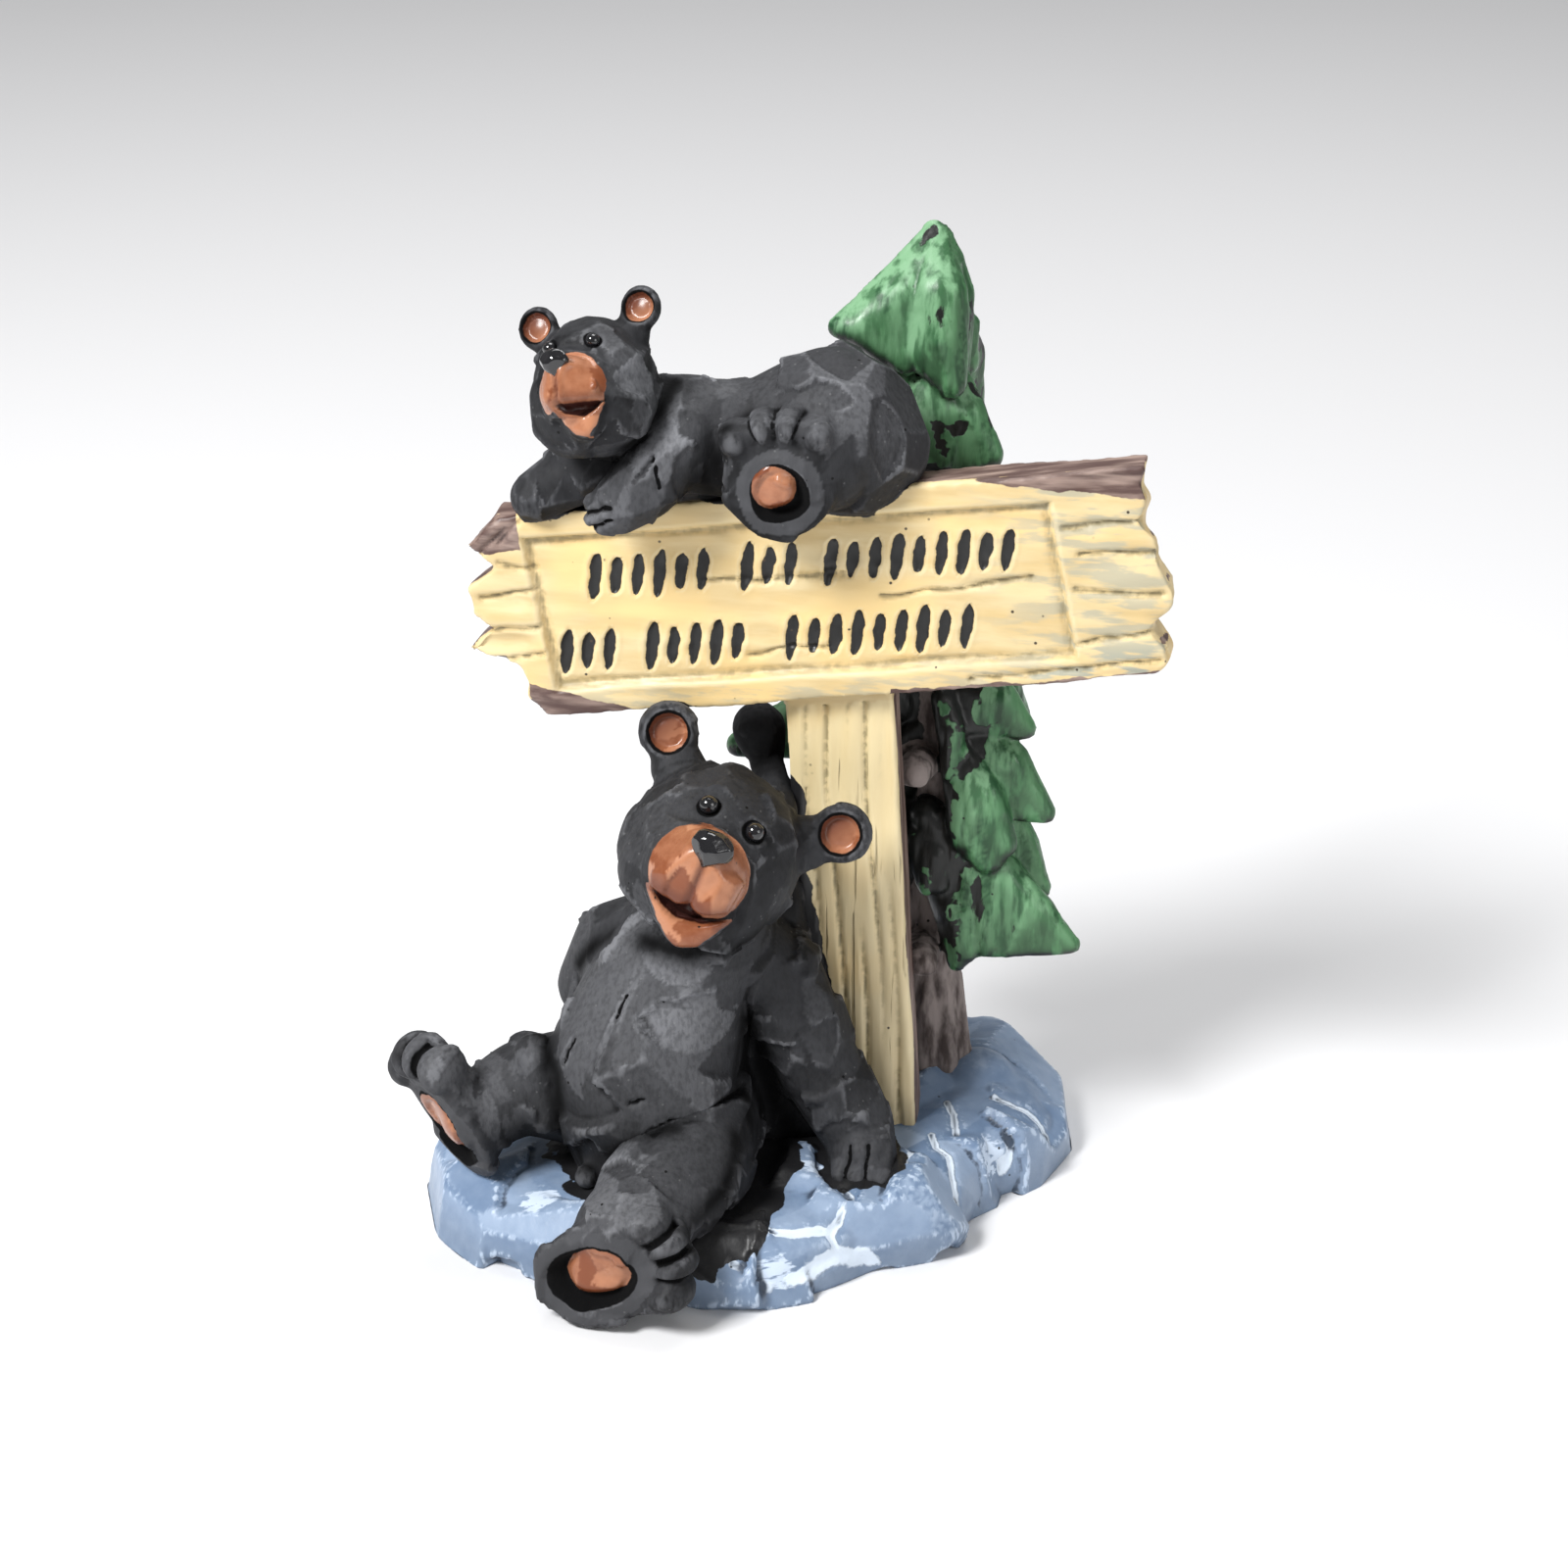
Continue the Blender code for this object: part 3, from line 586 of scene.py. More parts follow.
def rock_skin():
    """The slab: its outline ring, smoothed by a closed spline and lofted through the rings, with the mounds."""
    count = 6
    share = (np.arange(count) / count)[:, None]
    p0, p1, p2, p3 = (np.roll(ROCK_OUTLINE, -k, axis=0)[:, None, :] for k in (-1, 0, 1, 2))
    ring = 0.5 * (2 * p1 + (p2 - p0) * share + (2 * p0 - 5 * p1 + 4 * p2 - p3) * share ** 2
                  + (3 * p1 - p0 - 3 * p2 + p3) * share ** 3).reshape(-1, 2)
    n = len(ring)
    rings = [np.column_stack((ring[:, 0] * s * ROCK_LENGTH / 2, ROCK_CENTRE_Y + ring[:, 1] * s * ROCK_DEPTH / 2,
                              np.full(n, h * ROCK_HEIGHT))) for h, s in ROCK_RINGS]
    crown = np.array([[0.0, ROCK_CENTRE_Y, 1.06 * ROCK_HEIGHT]])
    faces = [(r * n + i, r * n + (i + 1) % n, (r + 1) * n + (i + 1) % n, (r + 1) * n + i)
             for r in range(len(rings) - 1) for i in range(n)]
    last = (len(rings) - 1) * n
    faces += [(last + i, last + (i + 1) % n, len(rings) * n) for i in range(n)]
    faces.append(tuple(range(n - 1, -1, -1)))
    lumps = Lumps()
    lumps.shell(np.concatenate(rings + [crown]), faces)
    for centre, radius in ROCK_MOUNDS:
        lumps.hull((centre, radius))
    return melt(lumps, ROCK_VOXEL, 5)


def from_line_flat(points):
    """Distance from the nearest crack line, with heights counted at a third."""
    squash = np.array((1.0, 1.0, 0.33))
    return np.min([from_line(points * squash, np.array(line) * squash) for line in ROCK_LINES], axis=0)


rock = rock_skin()
rock.paint["tone"] = tones(chisel(rock, ROCK_FLAT_SPACING, 0.22, 1.4, 7), 70)
crack = from_line_flat(rock.points)
rock.relief(-ROCK_CRACK_DEPTH * np.exp(-(crack / ROCK_CRACK_WIDTH) ** 2))
rock.points[:, 2] = np.maximum(rock.points[:, 2], 0.0)
rock.paint["line"] = ROCK_LINE_HALF_WIDTH - crack
rock.paint["crest"] = rock.bulge(6)
rock.paint["side"] = np.clip((6.0 - rock.points[:, 2]) / 4.0, 0.0, 1.0)
frost_spots = np.array(((3.3, -34.6, 4.0), (8.3, -20.5, 9.7), (31.4, -10.6, 6.4), (-26.5, -25.2, 8.6),
                        (-30.0, 8.0, 9.5), (10.0, 20.0, 9.5)))
to_frost = np.min([((rock.points - spot) ** 2).sum(axis=1) for spot in frost_spots], axis=0)
rock.paint["frost"] = np.exp(-to_frost / 14.0)
rock_material = rock_paint()


# Timber: a plank post leaning on the rock and a broken sign board across it, cast in one with
# the rest. Fronts are cream with scratched grain, and backs and edges are brown.

POST_WIDTH = 13.6
POST_THICKNESS = 8.0
POST_HEIGHT = 68.0
POST_LEAN = math.radians(3.6)
POST_FOOT = (15.5, -3.4)
SIGN_LENGTH = 84.0
SIGN_HEIGHT = 27.4
SIGN_THICKNESS = 5.6
SIGN_STANDS_PROUD = 2.4
SIGN_YAW = math.radians(8.0)
SIGN_ROLL = math.radians(7.2)
SIGN_CENTRE = (-1.9, 7.3)
PANEL_CENTRE_U = -1.9
PANEL_HALF = (32.3, 10.0)
PANEL_DEPTH = 0.9
PANEL_SLANT = 0.07
STROKE_HEIGHT = 6.4
STROKE_HALF_WIDTH = 0.74
STROKE_PITCH = 2.7
STROKE_LEAN = math.radians(14.0)
# Rows of plain strokes: height on the panel, then where each group starts and how many it has
STROKE_ROWS = (
    (4.2, ((-26.8, 6), (-7.8, 3), (2.6, 9))),
    (-5.4, ((-31.8, 3), (-21.0, 5), (-3.4, 9))),
)
# Broken ends: share of the half height, and reach past the plank's length
LEFT_SPLINTERS = (
    (-1.00, -12.6), (-0.98, -6.6), (-0.81, -4.6), (-0.66, -4.7), (-0.47, -3.6), (-0.39, -0.8),
    (-0.29, 1.5), (-0.10, -1.9), (0.05, 1.3), (0.32, 0.7), (0.47, -3.1), (0.70, 0.2), (0.84, -2.2),
    (0.97, -4.2),
)
RIGHT_SPLINTERS = (
    (0.99, -0.4), (0.66, -0.5), (0.48, -1.4), (0.24, 0.3), (0.03, 0.8), (-0.16, 1.2), (-0.38, 0.6),
    (-0.52, -0.9), (-0.71, 0.5), (-0.85, 0.1), (-0.96, -1.6),
)
# Scratched lines on the sign's face, along it and across it
SIGN_CRACKS = (
    ((8.4, -0.7), (17.0, -0.4), (26.7, 0.3)), ((-13.5, 3.1), (-6.0, 2.4), (4.0, 2.5)),
    ((-9.0, -7.2), (1.0, -6.6)), ((-41.0, -1.6), (-34.6, -1.2)), ((-41.5, 2.9), (-34.4, 3.1)),
    ((-38.5, 6.9), (-33.8, 6.0)), ((-40.5, -5.6), (-34.6, -5.0)), ((41.0, -7.5), (31.4, -8.2)),
    ((42.0, -2.6), (32.0, -1.4)), ((41.0, 6.9), (31.2, 6.6)), ((42.0, 2.6), (33.0, 3.4)),
    ((41.5, -11.0), (18.0, -12.0)), ((-38.0, 9.5), (-35.0, 12.4)), ((-40.5, 8.5), (-36.6, 11.6)),
)
POST_GRAIN = (-4.4, -1.9, 0.9, 3.0, 4.9)
GRAIN_DEPTH = 0.50
GRAIN_WIDTH = 0.34
TIMBER_VOXEL = 0.37
TORN_FROM = 36.0
TORN_REACH = 0.9
# How far under its front a point still counts as the front, on sign and post
FRONT_DEPTH = 0.9
RIM_DEPTH = 0.30
STROKE_DEPTH = 0.45
CRACK_DEPTH = 0.5
CRACK_WIDTH = 0.3
# Stands for outside, in millimetres, where a painted value doesn't reach
OUTSIDE = -9.0


def post_place():
    """Frame of the post's front: u across it, v up it, w out of it, with its foot on the rock."""
    foot = Matrix.Translation((POST_FOOT[0], POST_FOOT[1], ROCK_HEIGHT))
    lean = Matrix.Rotation(-POST_LEAN, 4, "Y") @ Matrix.Rotation(-SIGN_YAW, 4, "Z")
    return foot @ lean @ Matrix.Rotation(math.radians(90.0), 4, "X") @ Matrix.Translation((0, 0, POST_THICKNESS / 2))


def sign_place():
    """Frame of the sign's front: u along the plank, v across it and w out of it."""
    top = post_place() @ Vector((SIGN_CENTRE[0], POST_HEIGHT + SIGN_CENTRE[1], SIGN_STANDS_PROUD))
    turn = Matrix.Rotation(-SIGN_YAW, 4, "Z") @ Matrix.Rotation(math.radians(90.0), 4, "X")
    return Matrix.Translation(top) @ turn @ Matrix.Rotation(SIGN_ROLL, 4, "Z")


def local(points, place):
    """Coordinates of points in a frame."""
    inverse = np.array(place.inverted())
    return points @ inverse[:3, :3].T + inverse[:3, 3]


def board(outline, depth, place):
    """A flat outline pushed back by a depth and set in place, as points and faces."""
    n = len(outline)
    flat = [(u, v, -w) for w in (0.0, depth) for u, v in outline]
    points = [(place @ Vector(p))[:] for p in flat]
    sides = [(i, n + i, n + (i + 1) % n, (i + 1) % n) for i in range(n)]
    return points, sides + [tuple(range(n)), tuple(range(2 * n - 1, n - 1, -1))]


def timber_skin():
    """The post and the sign, melted into one."""
    lumps = Lumps()
    half = POST_WIDTH / 2
    lumps.shell(*board([(-half, -5.0), (half, -5.0), (half, POST_HEIGHT), (-half, POST_HEIGHT)],
                       POST_THICKNESS, post_place()))
    rise = SIGN_HEIGHT / 2
    left = [(-SIGN_LENGTH / 2 - reach, share * rise) for share, reach in reversed(LEFT_SPLINTERS)]
    right = [(SIGN_LENGTH / 2 + reach, share * rise) for share, reach in reversed(RIGHT_SPLINTERS)]
    lumps.shell(*board(left + right, SIGN_THICKNESS, sign_place()))
    return melt(lumps, TIMBER_VOXEL, 3)


def stroke_distance(u, v):
    """Signed distance into the nearest stroke: each is a leaning lens, fuller at its top."""
    best = np.full(len(u), OUTSIDE)
    for v_mid, groups in STROKE_ROWS:
        for first, count in groups:
            for k in range(count):
                tall = STROKE_HEIGHT * (1.0 - 0.11 * ((k * 2) % 3))
                du = u - first - k * STROKE_PITCH
                dv = v - v_mid
                a = du * math.cos(STROKE_LEAN) - dv * math.sin(STROKE_LEAN)
                b = du * math.sin(STROKE_LEAN) + dv * math.cos(STROKE_LEAN)
                end = np.clip(np.abs(b) / (tall / 2), 0.0, 1.6)
                wide = STROKE_HALF_WIDTH * (1.0 + 0.22 * b / tall)
                best = np.maximum(best, wide * np.sqrt(np.maximum(1.0 - end ** 2.4, 0.0))
                                  - np.abs(a) - 0.6 * np.maximum(end - 1.0, 0.0) * tall)
    return best


def timber_carving(skin):
    """Sink the panel, press the strokes and cracks, scratch the grain, and paint the fronts."""
    u, v, w = local(skin.points, sign_place()).T
    torn = np.clip((np.abs(u) - TORN_FROM) / 4.0, 0.0, 1.0) * (w > -SIGN_THICKNESS - 1.0) * np.sign(u)
    torn *= TORN_REACH * wobble(np.column_stack((u * 0.0, v, w * 0.35)), 5.2, 13)
    skin.points = skin.points + np.outer(torn, np.array(sign_place())[:3, 0])
    pu, pv, pw = local(skin.points, post_place()).T
    on_sign = (w > -SIGN_THICKNESS - 0.5) & (np.abs(v) < SIGN_HEIGHT / 2 + 1.5)
    front = on_sign & (w > -FRONT_DEPTH)
    waves = np.where(on_sign[:, None], skin.points * (0.35, 1.0, 2.4), skin.points * (2.4, 1.0, 0.25))
    skin.points = skin.points + skin.normals() * (0.16 * wobble(waves, 7.0, 3))[:, None]
    slant = PANEL_SLANT * v
    inside = np.minimum(PANEL_HALF[0] - np.abs(u - PANEL_CENTRE_U + slant), PANEL_HALF[1] - np.abs(v))
    sunk = np.clip(inside / 0.7 + 0.5, 0.0, 1.0)
    rim = np.exp(-((inside - 0.5) / 0.5) ** 2)
    ink = stroke_distance(u + 0.12 * wobble(skin.points, 1.9, 4), v + 0.12 * wobble(skin.points, 1.7, 5))
    crack = np.full(len(u), -OUTSIDE)
    plane = np.column_stack((u + 0.25 * wobble(skin.points, 4.0, 6), v + 0.3 * wobble(skin.points, 5.0, 8)))
    for line in SIGN_CRACKS:
        crack = np.minimum(crack, from_line(plane, line))
    height = -PANEL_DEPTH * sunk - RIM_DEPTH * rim - STROKE_DEPTH * np.clip(ink / 0.5 + 0.4, 0.0, 1.0)
    height += 0.12 * np.exp(-((ink + 0.35) / 0.25) ** 2) - CRACK_DEPTH * np.exp(-(crack / CRACK_WIDTH) ** 2)
    end = np.clip((np.abs(u + 1.5) - 32.5) / 3.0, 0.0, 1.0)
    height += end * (0.35 * wobble(np.column_stack((u * 0.18, v, w)), 3.4, 9) - 0.2)
    move = np.where(front, height, 0.0)
    post_front = ~on_sign & (pw > -FRONT_DEPTH) & (pv < POST_HEIGHT)
    sway = pu + 0.35 * wobble(np.column_stack((pu * 0, pv, pu * 0)), 26.0, 10)
    grain = np.min([np.abs(sway - g) for g in POST_GRAIN], axis=0)
    dashes = wobble(np.column_stack((np.round(sway), pv * 0.16, pu * 0)), 4.0, 11)
    dashes = np.clip(0.70 + 1.2 * dashes, 0.0, 1.0)
    move += np.where(post_front, -GRAIN_DEPTH * np.exp(-(grain / GRAIN_WIDTH) ** 2) * dashes
                     + 0.20 * wobble(np.column_stack((pu, pv * 0.12, pu * 0)), 2.6, 12), 0.0)
    normals = skin.normals()
    skin.points = skin.points + normals * move[:, None]
    rising = np.abs(normals @ np.array(sign_place())[:3, 1])
    brown = np.where(on_sign, np.where(rising > 0.55, -w - FRONT_DEPTH, -w - 5.4), -pw - FRONT_DEPTH)
    strip = np.minimum(v - (SIGN_HEIGHT / 2 - 0.20 * (u - 20.0)), 3.0)
    corner = np.minimum(-v - 9.0 - 0.33 * (u + 37.0), 3.0)
    tip = np.minimum(v - 8.0, -u - 34.6) - 0.6
    lower = np.where(u > 8.0, -v - SIGN_HEIGHT / 2 + 0.9, OUTSIDE)
    skin.paint["brown"] = np.where(front, np.maximum.reduce((brown, strip, corner, tip, lower)), brown)
    skin.paint["ink"] = np.where(front, ink, OUTSIDE)
    skin.paint["cut"] = np.where(front, np.maximum(np.exp(-(crack / 0.35) ** 2), 0.55 * rim),
                                 np.where(post_front, np.exp(-(grain / 0.24) ** 2) * dashes, 0.0))
    smear = np.clip((u - 18.0) / 12.0, 0.0, 1.0) + 0.75 * np.clip((-8.0 - v) / 4.0, 0.0, 1.0)
    skin.paint["smear"] = np.where(front, smear, 0.0)
    # Painted shade on the post, darkening towards its foot.
    skin.paint["low_post_shade"] = np.where(front, 0.0, np.clip(1.0 - pv / 60.0, 0.0, 1.0))
    skin.paint["upright"] = np.where(on_sign, 0.0, 1.0)
    skin.paint["crest"] = skin.bulge(5)


def timber_paint():
    """Cream over brown, with grey-green brush marks at the right end, black in the strokes and painted shade."""
    material, bench = new_paint("timber_paint")
    flaws = cast_flaws(bench)
    upright = bench.painted("upright")
    crest = bench.painted("crest")

    def grain(size, pull):
        """Brush marks along the plank, and up the post."""
        flat = bench.times(bench.noise(size, 5.0, (pull, 1.0, 1.0)), bench.minus(1.0, upright))
        return bench.plus(flat, bench.times(bench.noise(size, 5.0, (1.0, 1.0, pull)), upright))

    streak = grain(2.2, 0.16)
    scratch = bench.times(bench.step(bench.noise(1.3, 4.0, (1.0, 1.0, 0.035)), 0.63, 0.68), upright)
    smear = bench.times(bench.painted("smear"), bench.step(bench.noise(1.3, 5.0, (0.16, 1.0, 1.0)), 0.47, 0.60))
    cut = bench.times(bench.painted("cut"), bench.step(bench.noise(1.2, 4.0), 0.38, 0.62))
    bare = bench.blend(bench.step(grain(1.3, 0.10), 0.36, 0.72), (0.085, 0.045, 0.038), (0.34, 0.245, 0.205))
    colour = bench.coats(
        bench.blend(bench.step(streak, 0.32, 0.68), (0.64, 0.475, 0.225), (0.73, 0.585, 0.325)),
        (bench.times(upright, 0.55), (0.82, 0.69, 0.40)),
        (bench.step(bench.noise(14.0, 2.0), 0.48, 0.70), (0.80, 0.58, 0.26)),
        # Painted shade low on the post.
        (bench.times(bench.painted("low_post_shade"), 0.60), (0.50, 0.42, 0.28)),
        (bench.times(scratch, 0.75), (0.25, 0.19, 0.09)),
        (bench.times(smear, 0.70), (0.38, 0.38, 0.30)),
        (bench.times(bench.step(crest, 0.02, 0.14), 0.35), (0.80, 0.69, 0.44)),
        # Painted shade in the hollows.
        (bench.times(bench.step(crest, -0.04, -0.22), 0.55), (0.30, 0.23, 0.10)),
        (bench.times(cut, 0.85), (0.16, 0.13, 0.06)),
        (bench.ragged(bench.painted("brown"), 3.0, 0.8, 0.08), bare),
        (bench.ragged(bench.painted("ink"), 0.9, 0.16, 0.06), (0.010, 0.010, 0.010)),
        (bench.ragged(bench.painted("black_spill_and_shade"), 2.4, 0.7, 0.06), (0.012, 0.012, 0.013)),
        (flaws["Pinhole"], (0.05, 0.035, 0.02)),
    )
    height = bench.minus(bench.times(streak, 1.2), bench.times(scratch, 2.0))
    return lay_paint(material, bench, colour, bench.step(bench.noise(4.0), -0.5, 1.5), height, 0.10)


timber = timber_skin()
timber_carving(timber)
timber_material = timber_paint()


# Conifer: a fluted trunk with broken stubs and overlapping leaf-like fronds, cut in long
# strokes. It is painted green over black, with pale dry-brushed tips, a painted highlight on the
# upward faces and painted shade in the gaps, underneath and near the trunk, and lacquered.

TREE_HEIGHT = 115.0
TREE_FOOT = np.array((24.2, 9.5, 9.5))
TRUNK_RADIUS = 4.6
TREE_VOXEL = 0.425
FROND_FLAT_SPACING = 3.2
GOUGE_HEIGHT = 0.20
GOUGE_PITCH = 1.7
INNER_RADIUS = 8.8
# Fronds that face the viewer, each as balls from root to tip, from the trunk's foot
FRONT_FRONDS = (
    (((3.5, -3.5, 55.9), 2.4), ((7.8, -4.5, 55.4), 2.4), ((11.5, -4.5, 51.2), 1.3), ((4.1, -5.0, 52.1), 1.6)),
    (((3.6, -3.5, 50.4), 2.4), ((9.3, -5.0, 47.0), 2.6), ((14.1, -5.5, 39.8), 1.4), ((10.4, -5.5, 40.1), 1.4),
     ((6.2, -5.0, 44.9), 2.0)),
    (((7.1, -1.5, 41.9), 2.4), ((11.7, -2.5, 33.9), 2.0), ((14.0, -3.5, 28.0), 1.4), ((11.1, -3.5, 30.1), 1.6)),
    (((1.4, -4.5, 32.0), 2.2), ((8.3, -6.5, 31.5), 2.6), ((13.5, -7.5, 26.3), 2.2), ((17.9, -8.0, 21.8), 1.2),
     ((6.6, -8.0, 21.3), 1.4)),
    (((0.8, -4.5, 29.1), 2.2), ((2.7, -6.5, 25.8), 2.4), ((4.1, -7.5, 20.9), 1.8), ((2.9, -7.5, 18.8), 1.2)),
    (((2.3, -5.5, 48.6), 2.0), ((5.5, -7.5, 43.3), 2.8), ((8.3, -8.3, 36.7), 2.2), ((6.6, -8.3, 34.4), 1.8),
     ((3.7, -7.5, 37.7), 2.4)),
    (((0.5, -5.5, 55.9), 1.6), ((1.8, -7.0, 52.0), 1.6), ((1.6, -7.5, 46.1), 1.1)),
    (((-2.5, -5.5, 36.0), 1.8), ((0.0, -6.5, 34.4), 1.8), ((0.4, -7.0, 30.4), 1.4), ((-1.2, -7.0, 29.7), 1.2)),
    (((-1.3, -5.0, 39.3), 2.2), ((2.6, -5.5, 35.3), 2.4), ((1.3, -5.9, 32.0), 1.8)),
    (((-1.3, 0.0, 115.1), 1.6), ((-0.7, -4.0, 108.8), 3.4), ((-0.9, -5.5, 103.7), 3.0), ((0.9, -6.5, 98.0), 1.6),
     ((-3.6, -5.5, 101.7), 1.8)),
    (((-1.6, 0.0, 114.6), 1.6), ((-4.8, -3.0, 108.4), 3.0), ((-10.2, -4.0, 104.5), 2.6),
     ((-13.1, -4.0, 104.5), 1.2), ((-6.0, -5.0, 101.8), 1.6), ((-4.7, -5.5, 100.0), 1.2)),
    (((-0.6, 0.5, 114.5), 1.6), ((1.3, -0.5, 107.6), 2.4), ((1.8, -1.0, 98.7), 1.4), ((0.4, -4.5, 101.4), 2.0)),
    (((3.0, 1.5, 103.2), 1.4), ((3.4, 1.5, 98.2), 1.2)),
    (((-1.9, -4.0, 96.4), 2.4), ((-2.9, -5.0, 93.2), 2.4), ((-3.0, -5.0, 88.7), 1.8), ((-0.1, -5.0, 88.2), 2.0),
     ((1.0, -4.5, 94.2), 2.0)),
    (((1.5, -1.5, 96.4), 2.0), ((2.7, -3.5, 93.5), 2.6), ((5.8, -4.5, 88.2), 1.6), ((1.5, -4.5, 87.5), 2.0)),
    (((-3.0, 0.0, 61.0), 2.4), ((-14.0, -1.0, 54.0), 3.0), ((-25.6, -1.6, 47.6), 1.6), ((-15.0, -2.0, 47.5), 1.8)),
)
# Fronds round the back: height share of the root, reach, droop and number
BACK_TIERS = (
    (0.97, 7.0, 16.0, 3), (0.93, 9.0, 17.0, 4), (0.80, 12.0, 17.0, 4), (0.66, 15.0, 17.0, 5),
    (0.54, 17.0, 16.0, 5), (0.44, 18.5, 15.0, 5), (0.335, 19.5, 15.0, 5),
)


def tree_skin():
    """Melt trunk, roots and fronds together. Returns the skin, the wood's lumps and the fronds' lumps."""
    wood = Lumps()
    x, y, z = TREE_FOOT
    wood.limb(((x, y, 7.6), TRUNK_RADIUS), ((x, y, z + 14.0), TRUNK_RADIUS * 0.85),
              ((x, y, z + 0.60 * TREE_HEIGHT), TRUNK_RADIUS * 0.7), ((x - 0.6, y, z + TREE_HEIGHT - 8.0), 2.4))
    for k in range(9):
        bearing = 2.0 * math.pi * k / 9 + 0.35
        out = np.array((math.cos(bearing), math.sin(bearing), 0.0))
        foot = TREE_FOOT + out * TRUNK_RADIUS * (0.95 + 0.15 * math.sin(2.7 * k)) - (0.0, 0.0, 0.5)
        knee = TREE_FOOT + out * TRUNK_RADIUS * 0.66 + (0.0, 0.0, 13.0)
        wood.hull((foot, 1.5), (knee, 1.4))
    for height, bearing, reach in ((45.5, -1.75, 8.5), (18.6, -1.6, 9.0)):
        out = np.array((math.cos(bearing), math.sin(bearing), 0.16))
        start = TREE_FOOT + (-1.6, 0.0, height)
        wood.hull((start, 3.0), (start + out * reach, 2.1), (start + out * reach * 1.12 + (1.2, 0.0, -0.9), 0.8))
    green = Lumps()
    for balls in FRONT_FRONDS:
        green.hull(*[(TREE_FOOT + centre, radius) for centre, radius in balls])
    for tier, (share, reach, droop, count) in enumerate(BACK_TIERS):
        root = TREE_FOOT + (-0.6, 0.0, share * TREE_HEIGHT)
        for k in range(count):
            bearing = math.radians(22.0 + 188.0 * (k + 0.5 + 0.2 * math.sin(9.0 * share)) / count)
            out = np.array((math.cos(bearing), math.sin(bearing), 0.0))
            side = np.array((-out[1], out[0], 0.0))
            turn = np.column_stack((out, side, (0.0, 0.0, 1.0)))
            long = reach * (1.0 + 0.08 * math.sin(2.3 * k + tier))
            down = np.array((0.0, 0.0, droop))
            green.hull((root, (2.6, 3.0, 2.6)), (root + out * long * 0.62 - down * 0.5, (2.0, reach * 0.30, 2.4)),
                       (root + out * (long - 1.0) - down, 1.1), (root + out * 1.8 - down * 0.6, 2.2), turn=turn)
    both = Lumps()
    both.shell(np.concatenate(wood.points), wood.faces)
    both.shell(np.concatenate(green.points), green.faces)
    return melt(both, TREE_VOXEL, 2), wood, green


def tree_paint():
    """Green in long brush strokes over black, pale on ridges, painted highlight and shade, brown bark on trunk and
    stubs.
    """
    material, bench = new_paint("conifer_paint")
    flaws = cast_flaws(bench)
    crest = bench.painted("crest")
    hollow_shade = bench.painted("hollow_shade")
    streak = bench.noise(1.5, 6.0, (1.0, 1.0, 0.20))
    # Pale green painted highlight on the faces turned upwards, in brush streaks.
    pale = bench.times(bench.step(bench.painted("upward_highlight"), 0.25, 0.85), bench.step(streak, 0.38, 0.60))
    ridge = bench.times(bench.step(crest, 0.06, 0.24), bench.step(streak, 0.34, 0.58))
    gaps = bench.plus(bench.noise(4.5, 6.0, (1.0, 1.0, 0.42)), bench.times(bench.step(hollow_shade, 0.25, 0.75), 0.30))
    # Painted shade on the undersides of the fronds, in streaks.
    shady = bench.times(bench.painted("under"), bench.step(bench.noise(2.2, 4.0, (1.0, 1.0, 0.4)), 0.36, 0.52))
    # Black where the green missed, and painted shade inside the tree near the trunk.
    missed_paint_and_shade = bench.most(bench.step(gaps, 0.625, 0.655), bench.ragged(bench.painted("inner"), 4.0, 4.6, 0.15))
    missed_paint_and_shade = bench.most(missed_paint_and_shade, shady)
    bark = bench.blend(bench.step(bench.noise(1.8, 5.0, (1.0, 1.0, 0.3)), 0.34, 0.60), (0.060, 0.045, 0.041),
                       (0.270, 0.228, 0.214))
    # Bark darkened by painted shade in the hollows.
    bark = bench.blend(bench.step(hollow_shade, 0.15, 0.6), bark, (0.008, 0.007, 0.007))
    colour = bench.coats(
        bench.blend(bench.step(streak, 0.40, 0.60), (0.012, 0.062, 0.022), (0.060, 0.185, 0.075)),
        (bench.times(bench.painted("tone"), 0.50), (0.120, 0.290, 0.130)),
        (bench.times(pale, 0.65), (0.245, 0.445, 0.260)),
        (bench.times(ridge, 0.7), (0.25, 0.44, 0.26)),
        # Painted shade in the creases.
        (bench.times(bench.step(crest, -0.06, -0.22), 0.7), (0.010, 0.030, 0.014)),
        # Near-black where the green missed, and painted shade in the hollows.
        (bench.most(missed_paint_and_shade, bench.step(hollow_shade, 0.55, 1.0)), (0.008, 0.009, 0.008)),
        (bench.ragged(bench.painted("bark"), 1.5, 0.35, 0.08), bark),
        (flaws["Pinhole"], (0.01, 0.012, 0.01)),
    )
    height = bench.plus(streak, bench.times(missed_paint_and_shade, -0.4))
    rough = bench.plus(bench.noise(3.0), bench.step(bench.painted("bark"), -0.3, 0.3))
    return lay_paint(material, bench, colour, bench.step(rough, -0.5, 1.8), height, 0.14, 0.4)


